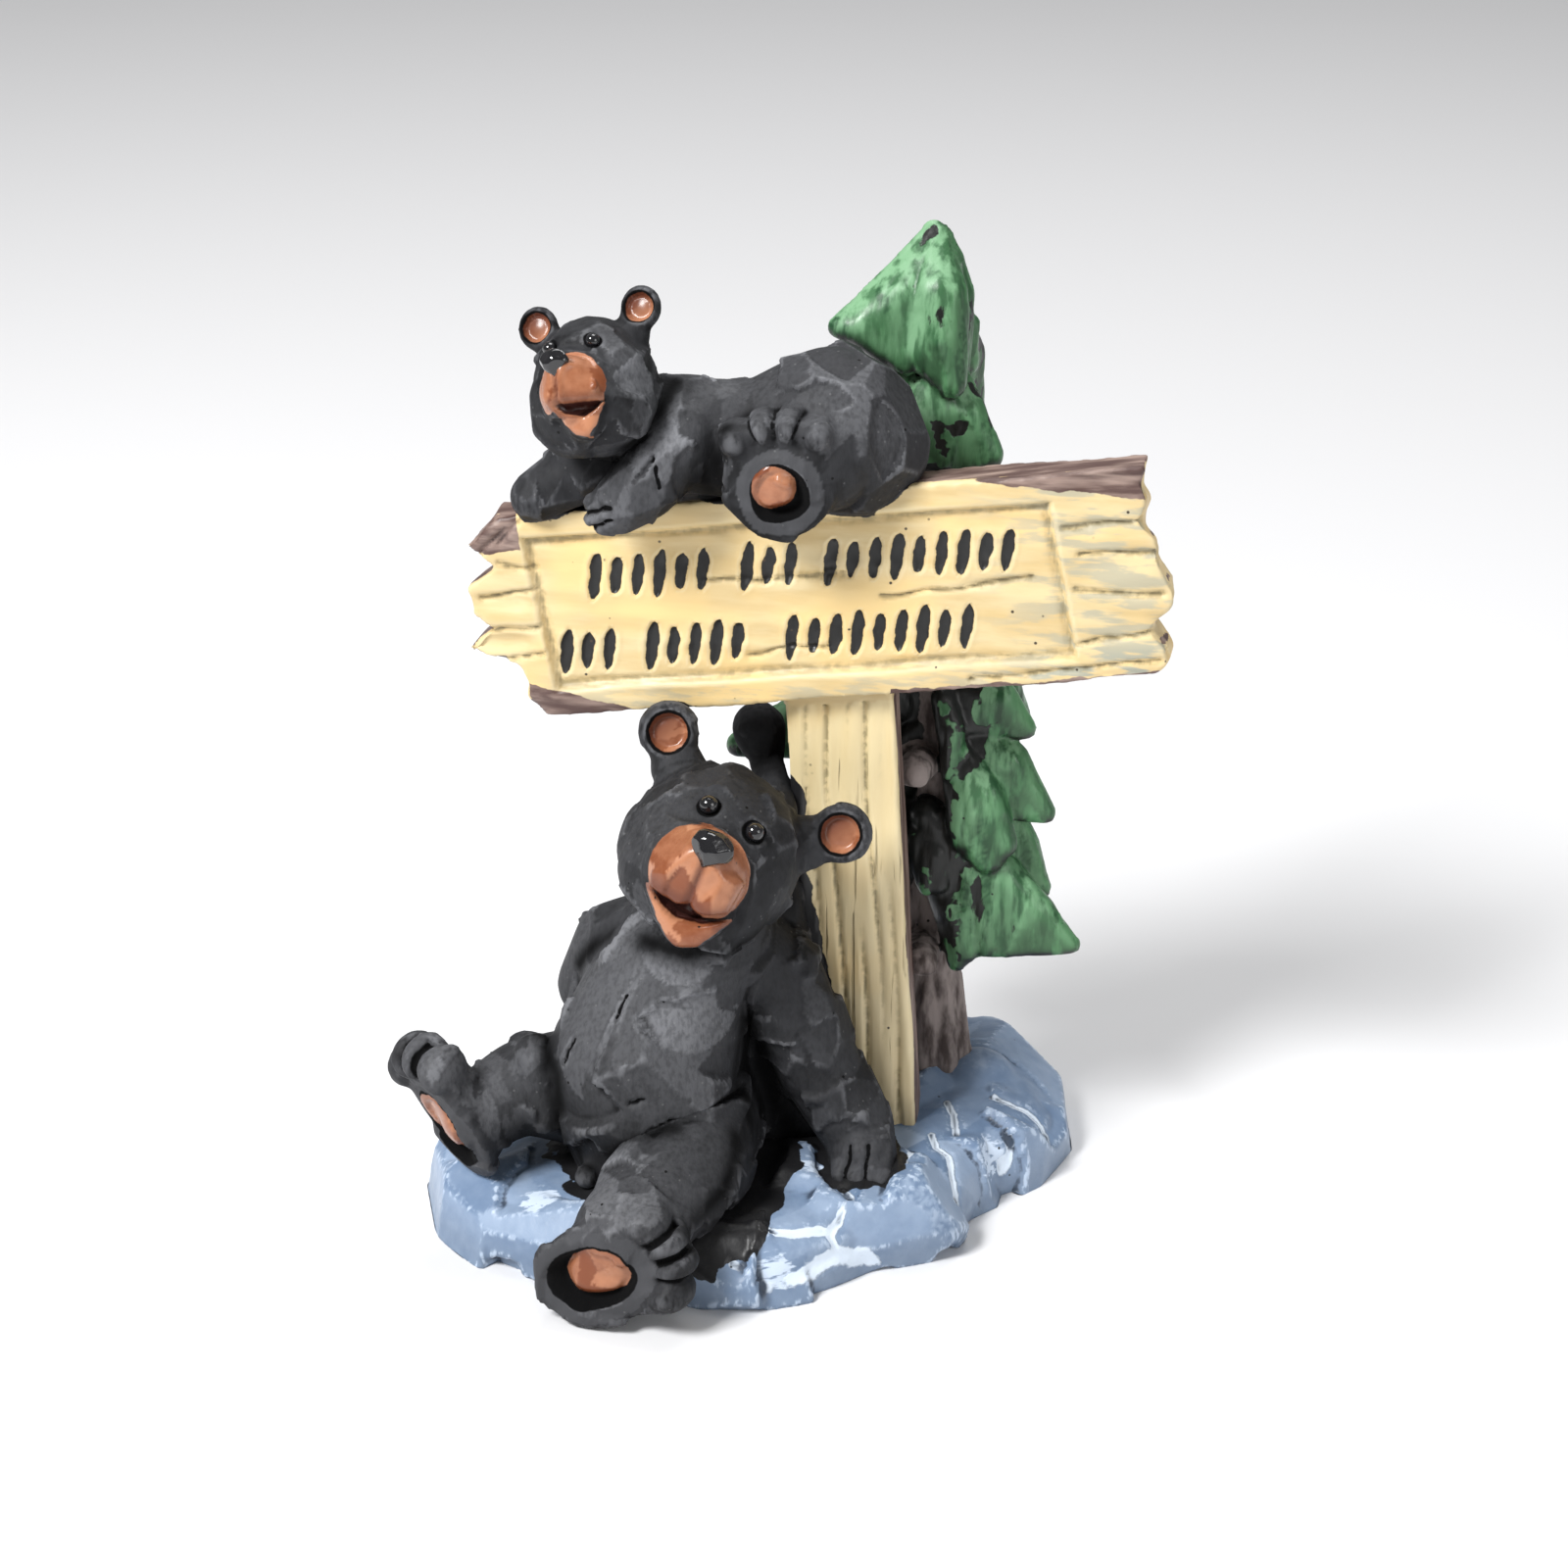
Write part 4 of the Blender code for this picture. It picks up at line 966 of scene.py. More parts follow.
tree, tree_wood, tree_green = tree_skin()
frond_flats = chisel(tree, FROND_FLAT_SPACING, 0.22, 0.65, 21, stretch=(1.0, 1.0, 0.24), swell=0.25)
tree.paint["tone"] = tones(frond_flats, 71)
to_wood = from_bones(tree.points, tree_wood.bones)
to_green = from_bones(tree.points, tree_green.bones)
tree.paint["bark"] = np.clip(to_green - np.maximum(to_wood, 0.0) - 0.2, -3.0, 3.0)
bearing = np.arctan2(tree.points[:, 1] - TREE_FOOT[1], tree.points[:, 0] - TREE_FOOT[0])
gouged = np.column_stack((np.cos(bearing) * 8.0, np.sin(bearing) * 8.0, tree.points[:, 2] * 0.14))
tree.relief(GOUGE_HEIGHT * (np.abs(wobble(gouged, GOUGE_PITCH, 22)) ** 0.6 - 0.5))
# Painted shade on faces turned downwards.
tree.paint["under"] = np.clip(0.25 - tree.normals()[:, 2] * 1.6, 0.0, 1.0)
tree.paint["crest"] = tree.bulge(5)
# Painted highlight on the faces turned up and to the left, towards the key light.
tree.paint["upward_highlight"] = np.clip(tree.normals() @ (-0.35, -0.45, 0.82), 0.0, 1.0)
# Painted shade inside the tree near the trunk, narrowing above 72 mm.
near_trunk = np.hypot(tree.points[:, 0] - TREE_FOOT[0], tree.points[:, 1] - TREE_FOOT[1])
thinner = 0.10 * np.maximum(tree.points[:, 2] - 72.0, 0.0)
tree.paint["inner"] = np.clip(INNER_RADIUS - near_trunk, -3.0, 3.0) - thinner
# Painted shade in the hollows between fronds.
tree.paint["hollow_shade"] = np.clip(-tree.bulge(40) / 1.1, 0.0, 1.0)
tree_material = tree_paint()


# Bears: both are cast with the rest and painted charcoal, dry-brushed grey on the flats, which also
# stands in for a painted sheen, with black painted shade in the creases and hollows and glossy tan on
# muzzles, ear cups and pads.

TOE_CUT_WIDTH = 0.42
NICK_WIDTH = 0.34
NICK_DEPTH = 0.55
BEAD_VOXEL = 0.16
LOUNGER_VOXEL = 0.42
CLIMBER_VOXEL = 0.36
# Stands for a distance that no mark reaches
AWAY = 9.0


def facing(roll, yaw, pitch):
    """Axes of a head, its right, its front and its up, from a head that looks at the viewer."""
    look = np.array(((1.0, 0.0, 0.0), (0.0, -1.0, 0.0), (0.0, 0.0, 1.0))).T
    turned = (Matrix.Rotation(math.radians(yaw), 3, "Z") @ Matrix.Rotation(math.radians(roll), 3, "Y")
              @ Matrix.Rotation(math.radians(-pitch), 3, "X"))
    return np.array(turned) @ look


def across(normal, toes):
    """Axes of a sole: its side, its outward normal and its toe end."""
    front = np.array(normal, float) / np.linalg.norm(normal)
    toe = np.array(toes, float) - front * (np.array(toes) @ front)
    toe /= np.linalg.norm(toe)
    return np.column_stack((np.cross(front, toe), front, toe))


class Head:
    """A round head with a short muzzle, parted lips and two cupped ears, in shares of its radius.

    Slim is its width against its height. Ears, eyes and nose are places to the side, and for the
    ears also upwards. The cusp is the middle of the lip, and gape and lip are outlines seen from
    the front, of the open mouth and of the lower lip.
    """

    def __init__(self, centre, radius, axes, slim, ears, eyes, nose, cusp, gape, lip):
        self.centre = np.array(centre)
        self.radius = radius
        self.axes = axes
        self.slim = slim
        self.ears = ears
        self.eyes = eyes
        self.nose = nose
        self.cusp = cusp
        self.gape = gape
        self.lip = lip

    def at(self, right, front, up):
        """A place on the head's axes, in shares of its radius."""
        return self.centre + self.axes @ np.array((right * self.slim, front, up)) * self.radius

    def size(self, right, front, up):
        """Radii along the head's axes."""
        return (right * self.slim * self.radius, front * self.radius, up * self.radius)

    def block(self, lumps):
        """Rough out skull, cheeks, muzzle, jaw and ears."""
        at, size, r = self.at, self.size, self.radius
        lumps.hull((at(0.0, 0.0, 0.0), size(0.96, 0.97, 0.98)), turn=self.axes)
        lumps.hull((at(-0.30, 0.28, -0.32), 0.58 * r), (at(0.30, 0.28, -0.32), 0.58 * r))
        lumps.hull((at(-0.08, 0.80, -0.14), 0.46 * r), (at(0.08, 0.80, -0.14), 0.46 * r),
                   (at(0.0, 1.02, 0.02), 0.32 * r))
        for side in (-1.0, 1.0):
            lumps.hull((at(side * 0.20, 0.96, -0.22), 0.27 * r), (at(side * 0.16, 0.86, 0.04), 0.25 * r))
        lumps.hull((at(0.04, 0.60, -0.46), 0.32 * r),
                   *[(at(x * 0.90, 0.98 + 0.10 * z, z * 0.93), 0.08 * r) for x, z in self.lip[:7]])
        for side in (-1.0, 1.0):
            x, z = side * self.ears[0], self.ears[1]
            lumps.hull((at(x, -0.08, z), size(0.33, 0.20, 0.33)), turn=self.axes)
            lumps.hull((at(x * 0.74, -0.10, z * 0.68), size(0.30, 0.24, 0.30)), turn=self.axes)

    def delicate(self):
        """The ears' middles, which the chisel treats gently."""
        return [self.at(side * self.ears[0], 0.05, self.ears[1]) for side in (-1.0, 1.0)]

    def carve(self, skin):
        """Cut mouth, lip line, eye sockets and ear cups; return tan and black paint in mm, and painted shade."""
        r = self.radius
        right, front, up = ((skin.points - self.centre) @ self.axes / r).T
        right = right / self.slim
        face = front > 0.55
        flat = np.column_stack((right, up))
        tan = np.where(face, 0.50 - np.hypot(right / 1.06, up + 0.12) - 2.0 * np.maximum(0.72 - front, 0.0), -1.0)
        tan = np.minimum(tan, up - self.cusp[1] + 0.08)
        lip = np.where(front > 0.72, within(flat, self.lip) + 0.02, -1.0)
        gape = np.where(front > 0.66, within(flat, self.gape), -1.0)
        philtrum = from_line(flat, ((self.nose, 0.10), (0.5 * (self.nose + self.cusp[0]), -0.14), self.cusp))
        cut = np.where(face, -0.055 * np.exp(-(philtrum / 0.040) ** 2), 0.0)
        socket = np.full(len(right), AWAY)
        for side in (-1.0, 1.0):
            eye = np.linalg.norm(np.column_stack((right - side * self.eyes, front - 0.80, up - 0.54)), axis=1)
            socket = np.minimum(socket, eye)
        cut -= 0.06 * np.exp(-(socket / 0.13) ** 4)
        normals = skin.normals()
        forward = np.clip(normals @ self.axes[:, 1], 0.0, 1.0)
        skin.points = skin.points + normals * (cut * r)[:, None]
        skin.points = skin.points - np.outer(np.clip(gape / 0.05 + 0.4, 0.0, 1.0) * 0.20 * r, self.axes[:, 1])
        cup = np.full(len(right), AWAY)
        shade = np.zeros(len(right))
        for middle in self.delicate():
            offset = (skin.points - middle) / r
            ear = np.linalg.norm(offset @ self.axes[:, (0, 2)], axis=1)
            ear = np.where(np.abs(offset @ self.axes[:, 1]) < 0.4, ear, AWAY)
            # Painted shade in the ear cup, darkest towards its upper left.
            painted_shade = np.clip(0.55 + offset @ np.array((-0.8, 0.0, 1.0)) * 3.0, 0.0, 1.0)
            shade = np.where(ear < 0.3, painted_shade, shade)
            cup = np.minimum(cup, ear)
        dish = np.clip((0.245 - cup) / 0.09, 0.0, 1.0)
        dish = dish * dish * (3.0 - 2.0 * dish) * np.clip(forward * 4.0 - 0.4, 0.0, 1.0)
        skin.points = skin.points - np.outer(dish * 0.17 * r, self.axes[:, 1])
        cup_paint = np.where(forward > 0.05, 0.205 - cup, -1.0)
        shade = shade * (forward > 0.05)
        # Painted shade on the tan along the lip line and down the philtrum, and in the ear cups.
        lip_line = 0.7 * np.exp(-((gape + 0.06) / 0.07) ** 2) * (up > -0.55)
        crease = np.where(face, np.maximum(lip_line, 0.95 * np.exp(-(philtrum / 0.045) ** 2)), 0.0)
        return {
            "tan": np.maximum.reduce((tan, lip, cup_paint)) * r,
            "gape": gape * r,
            "tan_shade": np.maximum(crease, shade),
            "black": np.maximum(0.150 - socket, np.where(forward > 0.05, 0.238 - cup, -1.0)) * r,
        }


class Foot:
    """A round sole with a sunk ring about its pad and four toes, on its own axes.

    The pad scales the ring and the pad, and the cut is the depth of the slits between the toes.
    """

    def __init__(self, centre, normal, toes, width, length, pad=1.0, cut=1.0):
        self.centre = np.array(centre)
        self.axes = across(normal, toes)
        self.width = width
        self.length = length
        self.pad = pad
        self.cut = cut

    def block(self, lumps):
        """Rough out the sole and the toes."""
        w, l, axes, centre = self.width, self.length, self.axes, self.centre
        lumps.hull((centre - axes[:, 1] * w * 0.07, (w * 0.46, w * 0.07, l * 0.48)),
                   (centre - axes[:, 1] * w * 0.30, (w * 0.40, w * 0.16, l * 0.42)), turn=axes)
        for k in range(4):
            spread = (k - 1.5) / 1.5
            toe = centre + axes @ np.array((spread * w * 0.32, -w * 0.18, l * (0.42 - 0.09 * spread * spread)))
            lumps.hull((toe, (w * 0.15, w * 0.26, l * 0.15)), turn=axes)

    def delicate(self):
        """The toes, which the chisel treats gently."""
        return [self.centre + self.axes @ np.array((k * self.width * 0.20, -self.width * 0.1, self.length * 0.42))
                for k in (-1.0, 1.0)]

    def carve(self, skin):
        """Sink the ring, leave the pad domed, part the toes, and return the paint in mm, with painted shade."""
        w, l = self.width, self.length
        side, out, toe = ((skin.points - self.centre) @ self.axes).T
        normals = skin.normals()
        facing_out = np.clip(normals @ self.axes[:, 1], 0.0, 1.0)
        near = (np.abs(out) < w * 0.35) & (facing_out > 0.15)
        waver = 1.0 + 0.05 * wobble(skin.points, 4.0, 51)
        far = np.hypot(side / (w * 0.275), (toe + l * 0.08) / (l * 0.285)) * waver / self.pad
        pad = np.hypot((side - w * 0.040) / (w * 0.215), (toe + l * 0.035) / (l * 0.222)) * waver / self.pad
        sunk = np.clip((1.0 - far) * 4.0, 0.0, 1.0) * near
        dome = np.clip((1.05 - pad) * 4.0, 0.0, 1.0) * near
        push = -0.105 * w * sunk + 0.075 * w * dome
        skin.points = skin.points + np.outer(push, self.axes[:, 1])
        cuts = np.full(len(side), AWAY)
        for turn in (-0.42, 0.0, 0.42):
            slant = side / w * math.cos(turn) - toe / l * math.sin(turn)
            reach = side / w * math.sin(turn) + toe / l * math.cos(turn)
            slit = np.hypot(slant * w, (np.maximum(0.36 - reach, 0.0) + np.maximum(reach - 0.54, 0.0)) * l)
            cuts = np.minimum(cuts, np.where(np.abs(out) < w * 0.30, slit, AWAY))
        skin.relief(-self.cut * np.exp(-(cuts / TOE_CUT_WIDTH) ** 2))
        return {
            "tan": np.where(near, (1.0 - pad) * w * 0.2, -1.0),
            "black": np.maximum(np.where(near, (1.04 - far) * w * 0.27, -1.0), 0.38 * self.cut - cuts),
            "rim": np.where(near & (far > 1.0) & (far < 1.5), 1.0, 0.0),
            # Painted shade on the pad, darker towards its edge.
            "tan_shade": np.where(near, np.clip(pad * 0.8 - 0.45, 0.0, 1.0) * (pad < 1.3), 0.0),
        }


def bear_paint():
    """Charcoal, grey dry-brushing on whole flats and painted sheen, black painted shade in creases, lacquered tan.
    """
    material, bench = new_paint("bear_paint")
    flaws = cast_flaws(bench)
    brushed = flaws["Brushed"]
    tone = bench.painted("tone")
    # Painted shade on the tan: in its creases, in the ear cups and round the pads.
    tan_shade = bench.painted("tan_shade")
    mottle = bench.plus(bench.times(tone, 0.4), bench.noise(2.0, 5.0))
    scuffed = bench.step(bench.noise(0.6, 6.0, (1.0, 1.0, 0.6)), 0.30, 0.62)
    # Grey dry-brushing on whole flats, also standing in for a painted sheen on the flats.
    patch = bench.times(bench.painted("dry"), bench.plus(bench.times(scuffed, 0.40), 0.60))
    crest = bench.times(bench.step(bench.painted("crest"), 0.012, 0.09), bench.step(brushed, 0.30, 0.60))
    crest = bench.times(crest, bench.step(bench.noise(7.0, 2.0), 0.40, 0.62))
    dry = bench.maths("ADD", patch, bench.times(crest, 0.50), clamp=True)
    dry = bench.most(dry, bench.times(bench.painted("rim"), 0.28))
    # Black painted shade in the hollows and along the creases, with the black paint of sockets and cuts.
    black = bench.most(bench.step(bench.painted("hollow_shade"), 0.12, 0.46), bench.painted("painted_shade"))
    black = bench.most(black, bench.ragged(bench.painted("black"), 1.2, 0.16, 0.08))
    tan = bench.ragged(bench.painted("tan"), 1.6, 0.24, 0.06)
    tan_tone = bench.step(bench.plus(tone, bench.times(bench.noise(1.2, 4.0), 0.5)), 0.25, 1.05)
    tan_colour = bench.blend(tan_tone, (0.200, 0.055, 0.019), (0.450, 0.195, 0.102))
    colour = bench.coats(
        bench.blend(bench.step(mottle, 0.40, 1.00), (0.0065, 0.0066, 0.0075), (0.0240, 0.0244, 0.0272)),
        (dry, (0.170, 0.173, 0.186)),
        (bench.times(flaws["Dust"], 0.22), (0.26, 0.26, 0.26)),
        (black, (0.0018, 0.0018, 0.0021)),
        # Tan, darkened by its painted shade.
        (tan, bench.blend(bench.times(tan_shade, 0.90), tan_colour, (0.105, 0.026, 0.012))),
        (bench.ragged(bench.painted("gape"), 0.9, 0.10, 0.08), (0.030, 0.008, 0.006)),
        (flaws["Pinhole"], (0.003, 0.003, 0.003)),
    )
    height = bench.plus(bench.times(brushed, 0.8), bench.times(patch, 0.8))
    height = bench.times(height, bench.minus(1.0, bench.times(tan, 0.7)))
    dull = bench.times(black, bench.minus(1.0, tan))
    rough = bench.minus(bench.step(bench.noise(2.0, 4.0), -1.0, 1.5), bench.times(tan, 0.30))
    rough = bench.plus(rough, bench.times(dull, 0.35))
    rough = bench.maths("ADD", rough, bench.times(tan_shade, 0.40), clamp=True)
    return lay_paint(material, bench, colour, rough, height, 0.13, 0.18, bench.times(tan, 0.55), 0.22)


bear_material = bear_paint()


def dress(skin, bones, carved, patches, creases, cuts, spacing, seed):
    """Chisel a bear, with soft flats about its ears and toes, and paint the values for its colours.

    Patches are dry-brushed spots, which also stand in for a painted sheen on the flats, and creases
    are lines of painted shade, each with a reach. Cuts are lines pressed with the corner of a blade.
    """
    ears = np.min([np.linalg.norm(skin.points - c, axis=1) for part in carved for c in part.delicate()], axis=0)
    gentle = np.clip((ears - 3.0) / 2.0, 0.05, 1.0)
    spacing = skin.spread(np.minimum(spacing, 1.1 + 0.40 * thickness(skin.points, bones)), 12)
    lean = 0.08 + 0.040 * spacing
    owner = chisel(skin, spacing, lean, 0.18 * spacing, seed, share=gentle, swell=1.3)
    skin.paint["tone"] = tones(owner, seed + 1)
    marks = [part.carve(skin) for part in carved]
    for key, none in (("tan", -1.0), ("gape", -1.0), ("tan_shade", 0.0), ("black", -1.0), ("rim", 0.0)):
        skin.paint[key] = np.maximum.reduce([m.get(key, np.full(len(skin.points), none)) for m in marks])
    nick = grooves(skin, [along_skin(skin, cut) for cut in cuts], NICK_WIDTH, NICK_DEPTH)
    skin.paint["black"] = np.maximum(skin.paint["black"], 0.26 - nick)
    # Painted shade along the creases: black fading away from each line over its reach.
    painted_shade = [np.exp(-(from_line(skin.points, line) / reach) ** 2) for line, reach in creases]
    skin.paint["painted_shade"] = np.max(painted_shade, axis=0)
    skin.paint["crest"] = skin.bulge(5)
    # Painted shade: black where the skin sinks below its smoothed self.
    skin.paint["hollow_shade"] = np.clip(-skin.bulge(50) / 1.1, 0.0, 1.0)
    # Dry-brushed grey over whole flats at random strengths, also standing in for a painted sheen.
    near = np.zeros(len(skin.points))
    for spot, radius, strength in patches:
        far = ((skin.points - np.array(spot)) ** 2).sum(axis=1)
        near = np.maximum(near, strength * np.exp(-far / radius ** 2))
    level = (0.35 * near + 0.65 * near[owner]) * (0.34 + 1.10 * tones(owner, seed + 2) ** 1.5)
    skin.paint["dry"] = np.clip(level, 0.0, 1.0)


def lay_forms(lumps, place, forms):
    """Lay down forms, each a kind, hull or limb, and its balls as three coordinates and a radius."""
    for kind, *balls in forms:
        lay = lumps.hull if kind == "hull" else lumps.limb
        lay(*[(place(x, y, z), radius) for x, y, z, radius in balls])


def fine_near(skin, centres, coarse, fine, reach):
    """Spacing of the flats: coarse on the body, fine within reach of the given centres."""
    far = np.min([np.linalg.norm(skin.points - np.array(c), axis=1) for c in centres], axis=0)
    return fine + (coarse - fine) * np.clip(far / reach - 1.0, 0.0, 1.0)


def glossy(name, colour):
    """Lacquered black with a faint mottle."""
    material, bench = new_paint(name)
    tint = bench.blend(bench.noise(1.0), colour, (0.012, 0.012, 0.014))
    rough = bench.step(bench.noise(1.5), -0.3, 4.0)
    return lay_paint(material, bench, tint, rough, bench.noise(0.8), 0.02, lacquer=0.6, haze=0.06)


def face_beads(name, head, material):
    """The two eyes and the nose, as lacquered beads with a few flats on the nose."""
    lumps = Lumps()
    for side in (-1.0, 1.0):
        lumps.hull((head.at(side * head.eyes * 0.96, 0.77, 0.52), 0.105 * head.radius))
    lumps.hull((head.at(head.nose, 1.32, 0.23), head.size(0.235, 0.14, 0.165)),
               (head.at(head.nose, 1.27, 0.09), head.size(0.10, 0.11, 0.10)), turn=head.axes)
    skin = melt(lumps, BEAD_VOXEL, 3)
    nose = np.linalg.norm(skin.points - head.at(head.nose, 1.27, 0.20), axis=1) < 0.4 * head.radius
    before = skin.points.copy()
    chisel(skin, 1.3, 0.10, 0.20, 5)
    skin.points = np.where(nose[:, None], skin.points, before)
    make_piece(name, skin, material)


# Lower bear: sits back against the post with its legs spread and one arm propped on the rock.

SEAT = np.array((POST_FOOT[0], POST_FOOT[1], ROCK_HEIGHT))


def seated(x, y, z):
    """A place measured from the foot of the post."""
    return SEAT + (x, y, z)


lounger_head = Head(
    centre=seated(-19.8, -14.1, 44.2), radius=11.6, axes=facing(27.0, -15.0, 23.5), slim=1.0,
    ears=(1.06, 0.88), eyes=0.29, nose=0.0, cusp=(0.06, -0.44),
    gape=((-0.34, -0.50), (-0.05, -0.51), (0.08, -0.45), (0.28, -0.50), (0.52, -0.37), (0.30, -0.57),
          (0.02, -0.65), (-0.18, -0.60)),
    lip=((-0.40, -0.50), (-0.13, -0.73), (0.06, -0.86), (0.18, -0.90), (0.36, -0.79), (0.44, -0.58),
         (0.53, -0.38), (0.30, -0.57), (0.02, -0.65), (-0.18, -0.60)),
)
lounger_feet = (
    Foot(seated(-33.2, -38.4, -1.4), normal=(-0.28, -0.94, 0.12), toes=(0.93, 0.0, 0.34), width=15.0, length=20.5),
    Foot(seated(-54.4, -18.0, 8.8), normal=(-0.69, -0.62, -0.38), toes=(-0.49, 0.0, 0.87), width=13.5, length=20.5),
)
lounger_forms = Lumps()
lay_forms(lounger_forms, seated, (
    ("hull", (-28.2, -10.5, 3.5, 11.3), (-28.8, -13.0, 15.0, 12.4), (-25.0, -11.0, 26.0, 10.2)),
    ("hull", (-25.0, -11.0, 26.0, 10.2), (-20.0, -11.5, 33.0, 7.8)),
    ("limb", (-16.0, -9.5, 29.0, 5.8), (-11.6, -9.1, 24.5, 5.8), (-6.6, -9.6, 12.1, 5.5), (-2.4, -10.6, 4.6, 5.0)),
    ("hull", (-1.4, -11.6, 2.0, 4.6), (-1.0, -14.0, 1.4, 4.0)),
))
for claw in range(3):
    lounger_forms.hull((seated(-3.0 + 1.8 * claw, -13.6, 1.8), 2.0), (seated(-3.6 + 2.6 * claw, -17.6, -0.2), 1.35))
lay_forms(lounger_forms, seated, (
    ("limb", (-28.6, -7.0, 29.0, 6.0), (-32.8, -5.0, 27.6, 5.0), (-35.4, -1.5, 19.5, 5.0), (-31.0, 7.0, 3.0, 4.6)),
    ("limb", (-22.5, -13.0, 5.5, 8.8), (-22.6, -22.0, 5.2, 7.6), (-30.6, -33.0, 1.2, 6.6)),
    ("limb", (-37.0, -9.0, 8.5, 8.0), (-44.0, -12.5, 10.5, 6.2), (-50.0, -16.0, 8.6, 5.2)),
    ("hull", (-15.0, -5.5, 25.0, 4.5), (-18.0, -5.0, 4.0, 6.0), (-8.0, -4.5, 3.0, 4.5), (-12.0, -4.0, 34.0, 3.0)),
    ("hull", (-42.5, -15.0, 16.5, 2.7), (-41.5, -15.5, 9.0, 3.2)),
    ("hull", (-36.0, -20.0, 1.6, 1.5), (-33.0, -17.0, 2.0, 1.8)),
))
# A rounded knob between the ear and the post, under the sign
KNOB = (seated(-13.2, 3.0, 49.4), seated(-14.2, 3.0, 53.6))
lounger_forms.hull((KNOB[0], 1.9), (KNOB[1], 3.0))
lounger_forms.hull((KNOB[0], 1.9), (seated(-11.5, -5.0, 45.5), 2.2))
for part in (lounger_head, *lounger_feet):
    part.block(lounger_forms)
lounger = melt(lounger_forms, LOUNGER_VOXEL, 8)
lounger_spacing = fine_near(lounger, [lounger_head.centre] + [f.centre for f in lounger_feet], 6.2, 3.2, 11.0)
dress(lounger, lounger_forms.bones, (lounger_head, *lounger_feet), patches=(
    ((-14.5, -25.0, 37.0), 12.0, 1.1), ((-22.0, -16.0, 36.0), 9.0, 0.7), ((-12.0, -28.0, 28.0), 8.0, 0.75),
    ((-31.3, -21.7, 23.1), 7.0, 0.55), ((-38.6, -24.0, 27.5), 5.0, 0.7), ((-14.7, -36.5, 17.7), 8.0, 0.75),
    ((-17.5, -39.6, 14.8), 7.0, 0.6), ((6.0, -18.3, 27.4), 7.0, 0.35), ((-9.0, -24.5, 66.0), 7.0, 0.5),
    ((-14.0, -20.0, 52.0), 6.0, 0.35), ((3.0, -20.0, 50.0), 7.0, 0.2), ((14.0, -18.0, 14.0), 5.0, 0.4),
    ((-20.0, 0.0, 45.0), 12.0, 0.6), ((-6.0, -3.0, 62.0), 9.0, 0.5), ((-24.0, 0.0, 25.0), 10.0, 0.6),
), creases=(
    # Lines of painted shade, each with its reach; the last darkens the knob all over.
    (((-0.5, -17.5, 31.0), (0.8, -15.5, 28.4), (2.0, -13.5, 21.2), (3.9, -13.2, 15.3), (5.8, -12.8, 10.6)), 2.4),
    (((-0.1, -17.9, 30.5), (-0.4, -18.5, 24.0), (-0.4, -21.0, 18.0)), 2.0),
    (((-26.2, -18.0, 29.3), (-24.4, -22.0, 24.9), (-23.4, -21.5, 17.2), (-21.7, -20.7, 11.7)), 1.5),
    (((-30.1, -20.1, 16.2), (-27.9, -14.3, 10.6), (-25.0, -17.2, 10.6)), 4.0),
    (((-21.3, -23.0, 11.3), (-15.1, -28.2, 18.4), (-13.8, -28.3, 20.1), (-8.9, -28.7, 21.5)), 1.2),
    (((-1.4, -27.1, 19.1), (-3.0, -32.1, 14.3), (-7.2, -40.9, 12.5)), 1.6),
    (((-21.7, -11.0, 34.8), (-19.6, -13.0, 38.6), (-17.6, -14.9, 41.5)), 1.2),
    (((-12.8, -20.5, 43.3), (-7.6, -22.4, 42.5), (-1.4, -26.6, 44.9), (3.3, -25.5, 46.6), (6.4, -10.7, 44.0)), 2.2),
    ((KNOB[0] - (0.0, 2.0, 0.0), KNOB[1] - (0.0, 2.0, 0.0)), 4.2),
), cuts=(
    ((-14.9, -23.4, 37.2), (-15.9, -24.6, 34.5)), ((-22.1, -22.5, 30.5), (-23.5, -22.6, 27.1)),
    (seated(-2.6, -16.2, 4.0), seated(-3.0, -19.0, 1.2), seated(-3.0, -19.4, -0.6)),
    (seated(-0.4, -16.4, 4.0), seated(-0.4, -19.4, 1.2), seated(-0.4, -19.8, -0.6)),
), spacing=lounger_spacing, seed=31)
make_piece("lounging_bear", lounger, bear_material)
bead_material = glossy("bead_lacquer", (0.004, 0.004, 0.005))
face_beads("lounging_bear_eyes_and_nose", lounger_head, bead_material)


# Upper bear: lies along the top of the sign, with a hind foot and a forepaw over its face.

PERCH = sign_place() @ Matrix.Translation((0.0, SIGN_HEIGHT / 2, -SIGN_THICKNESS / 2))


def perched(along, up, out):
    """A place measured from the middle of the sign's top edge, along it, up from it and out of it."""
    return np.array(PERCH @ Vector((along, up, out)))


climber_head = Head(
    centre=perched(-22.2, 15.5, 5.0), radius=8.5, axes=facing(-15.5, -13.5, 26.0), slim=0.93,
    ears=(0.84, 1.02), eyes=0.36, nose=-0.07, cusp=(-0.14, -0.36),
    gape=((-0.22, -0.37), (-0.06, -0.35), (0.13, -0.35), (0.30, -0.36), (0.48, -0.36), (0.33, -0.47),
          (0.14, -0.54), (-0.10, -0.48)),
    lip=((-0.23, -0.38), (-0.15, -0.60), (-0.02, -0.74), (0.14, -0.80), (0.27, -0.68), (0.38, -0.52),
         (0.46, -0.40), (0.33, -0.47), (0.14, -0.54), (-0.10, -0.48)),
)
climber_foot = Foot(perched(-0.8, 4.2, 11.2), normal=(-0.12, -0.98, 0.06), toes=(-0.1, 0.0, 1.0),
                    width=15.2, length=15.2, pad=0.82, cut=0.45)
climber_forms = Lumps()
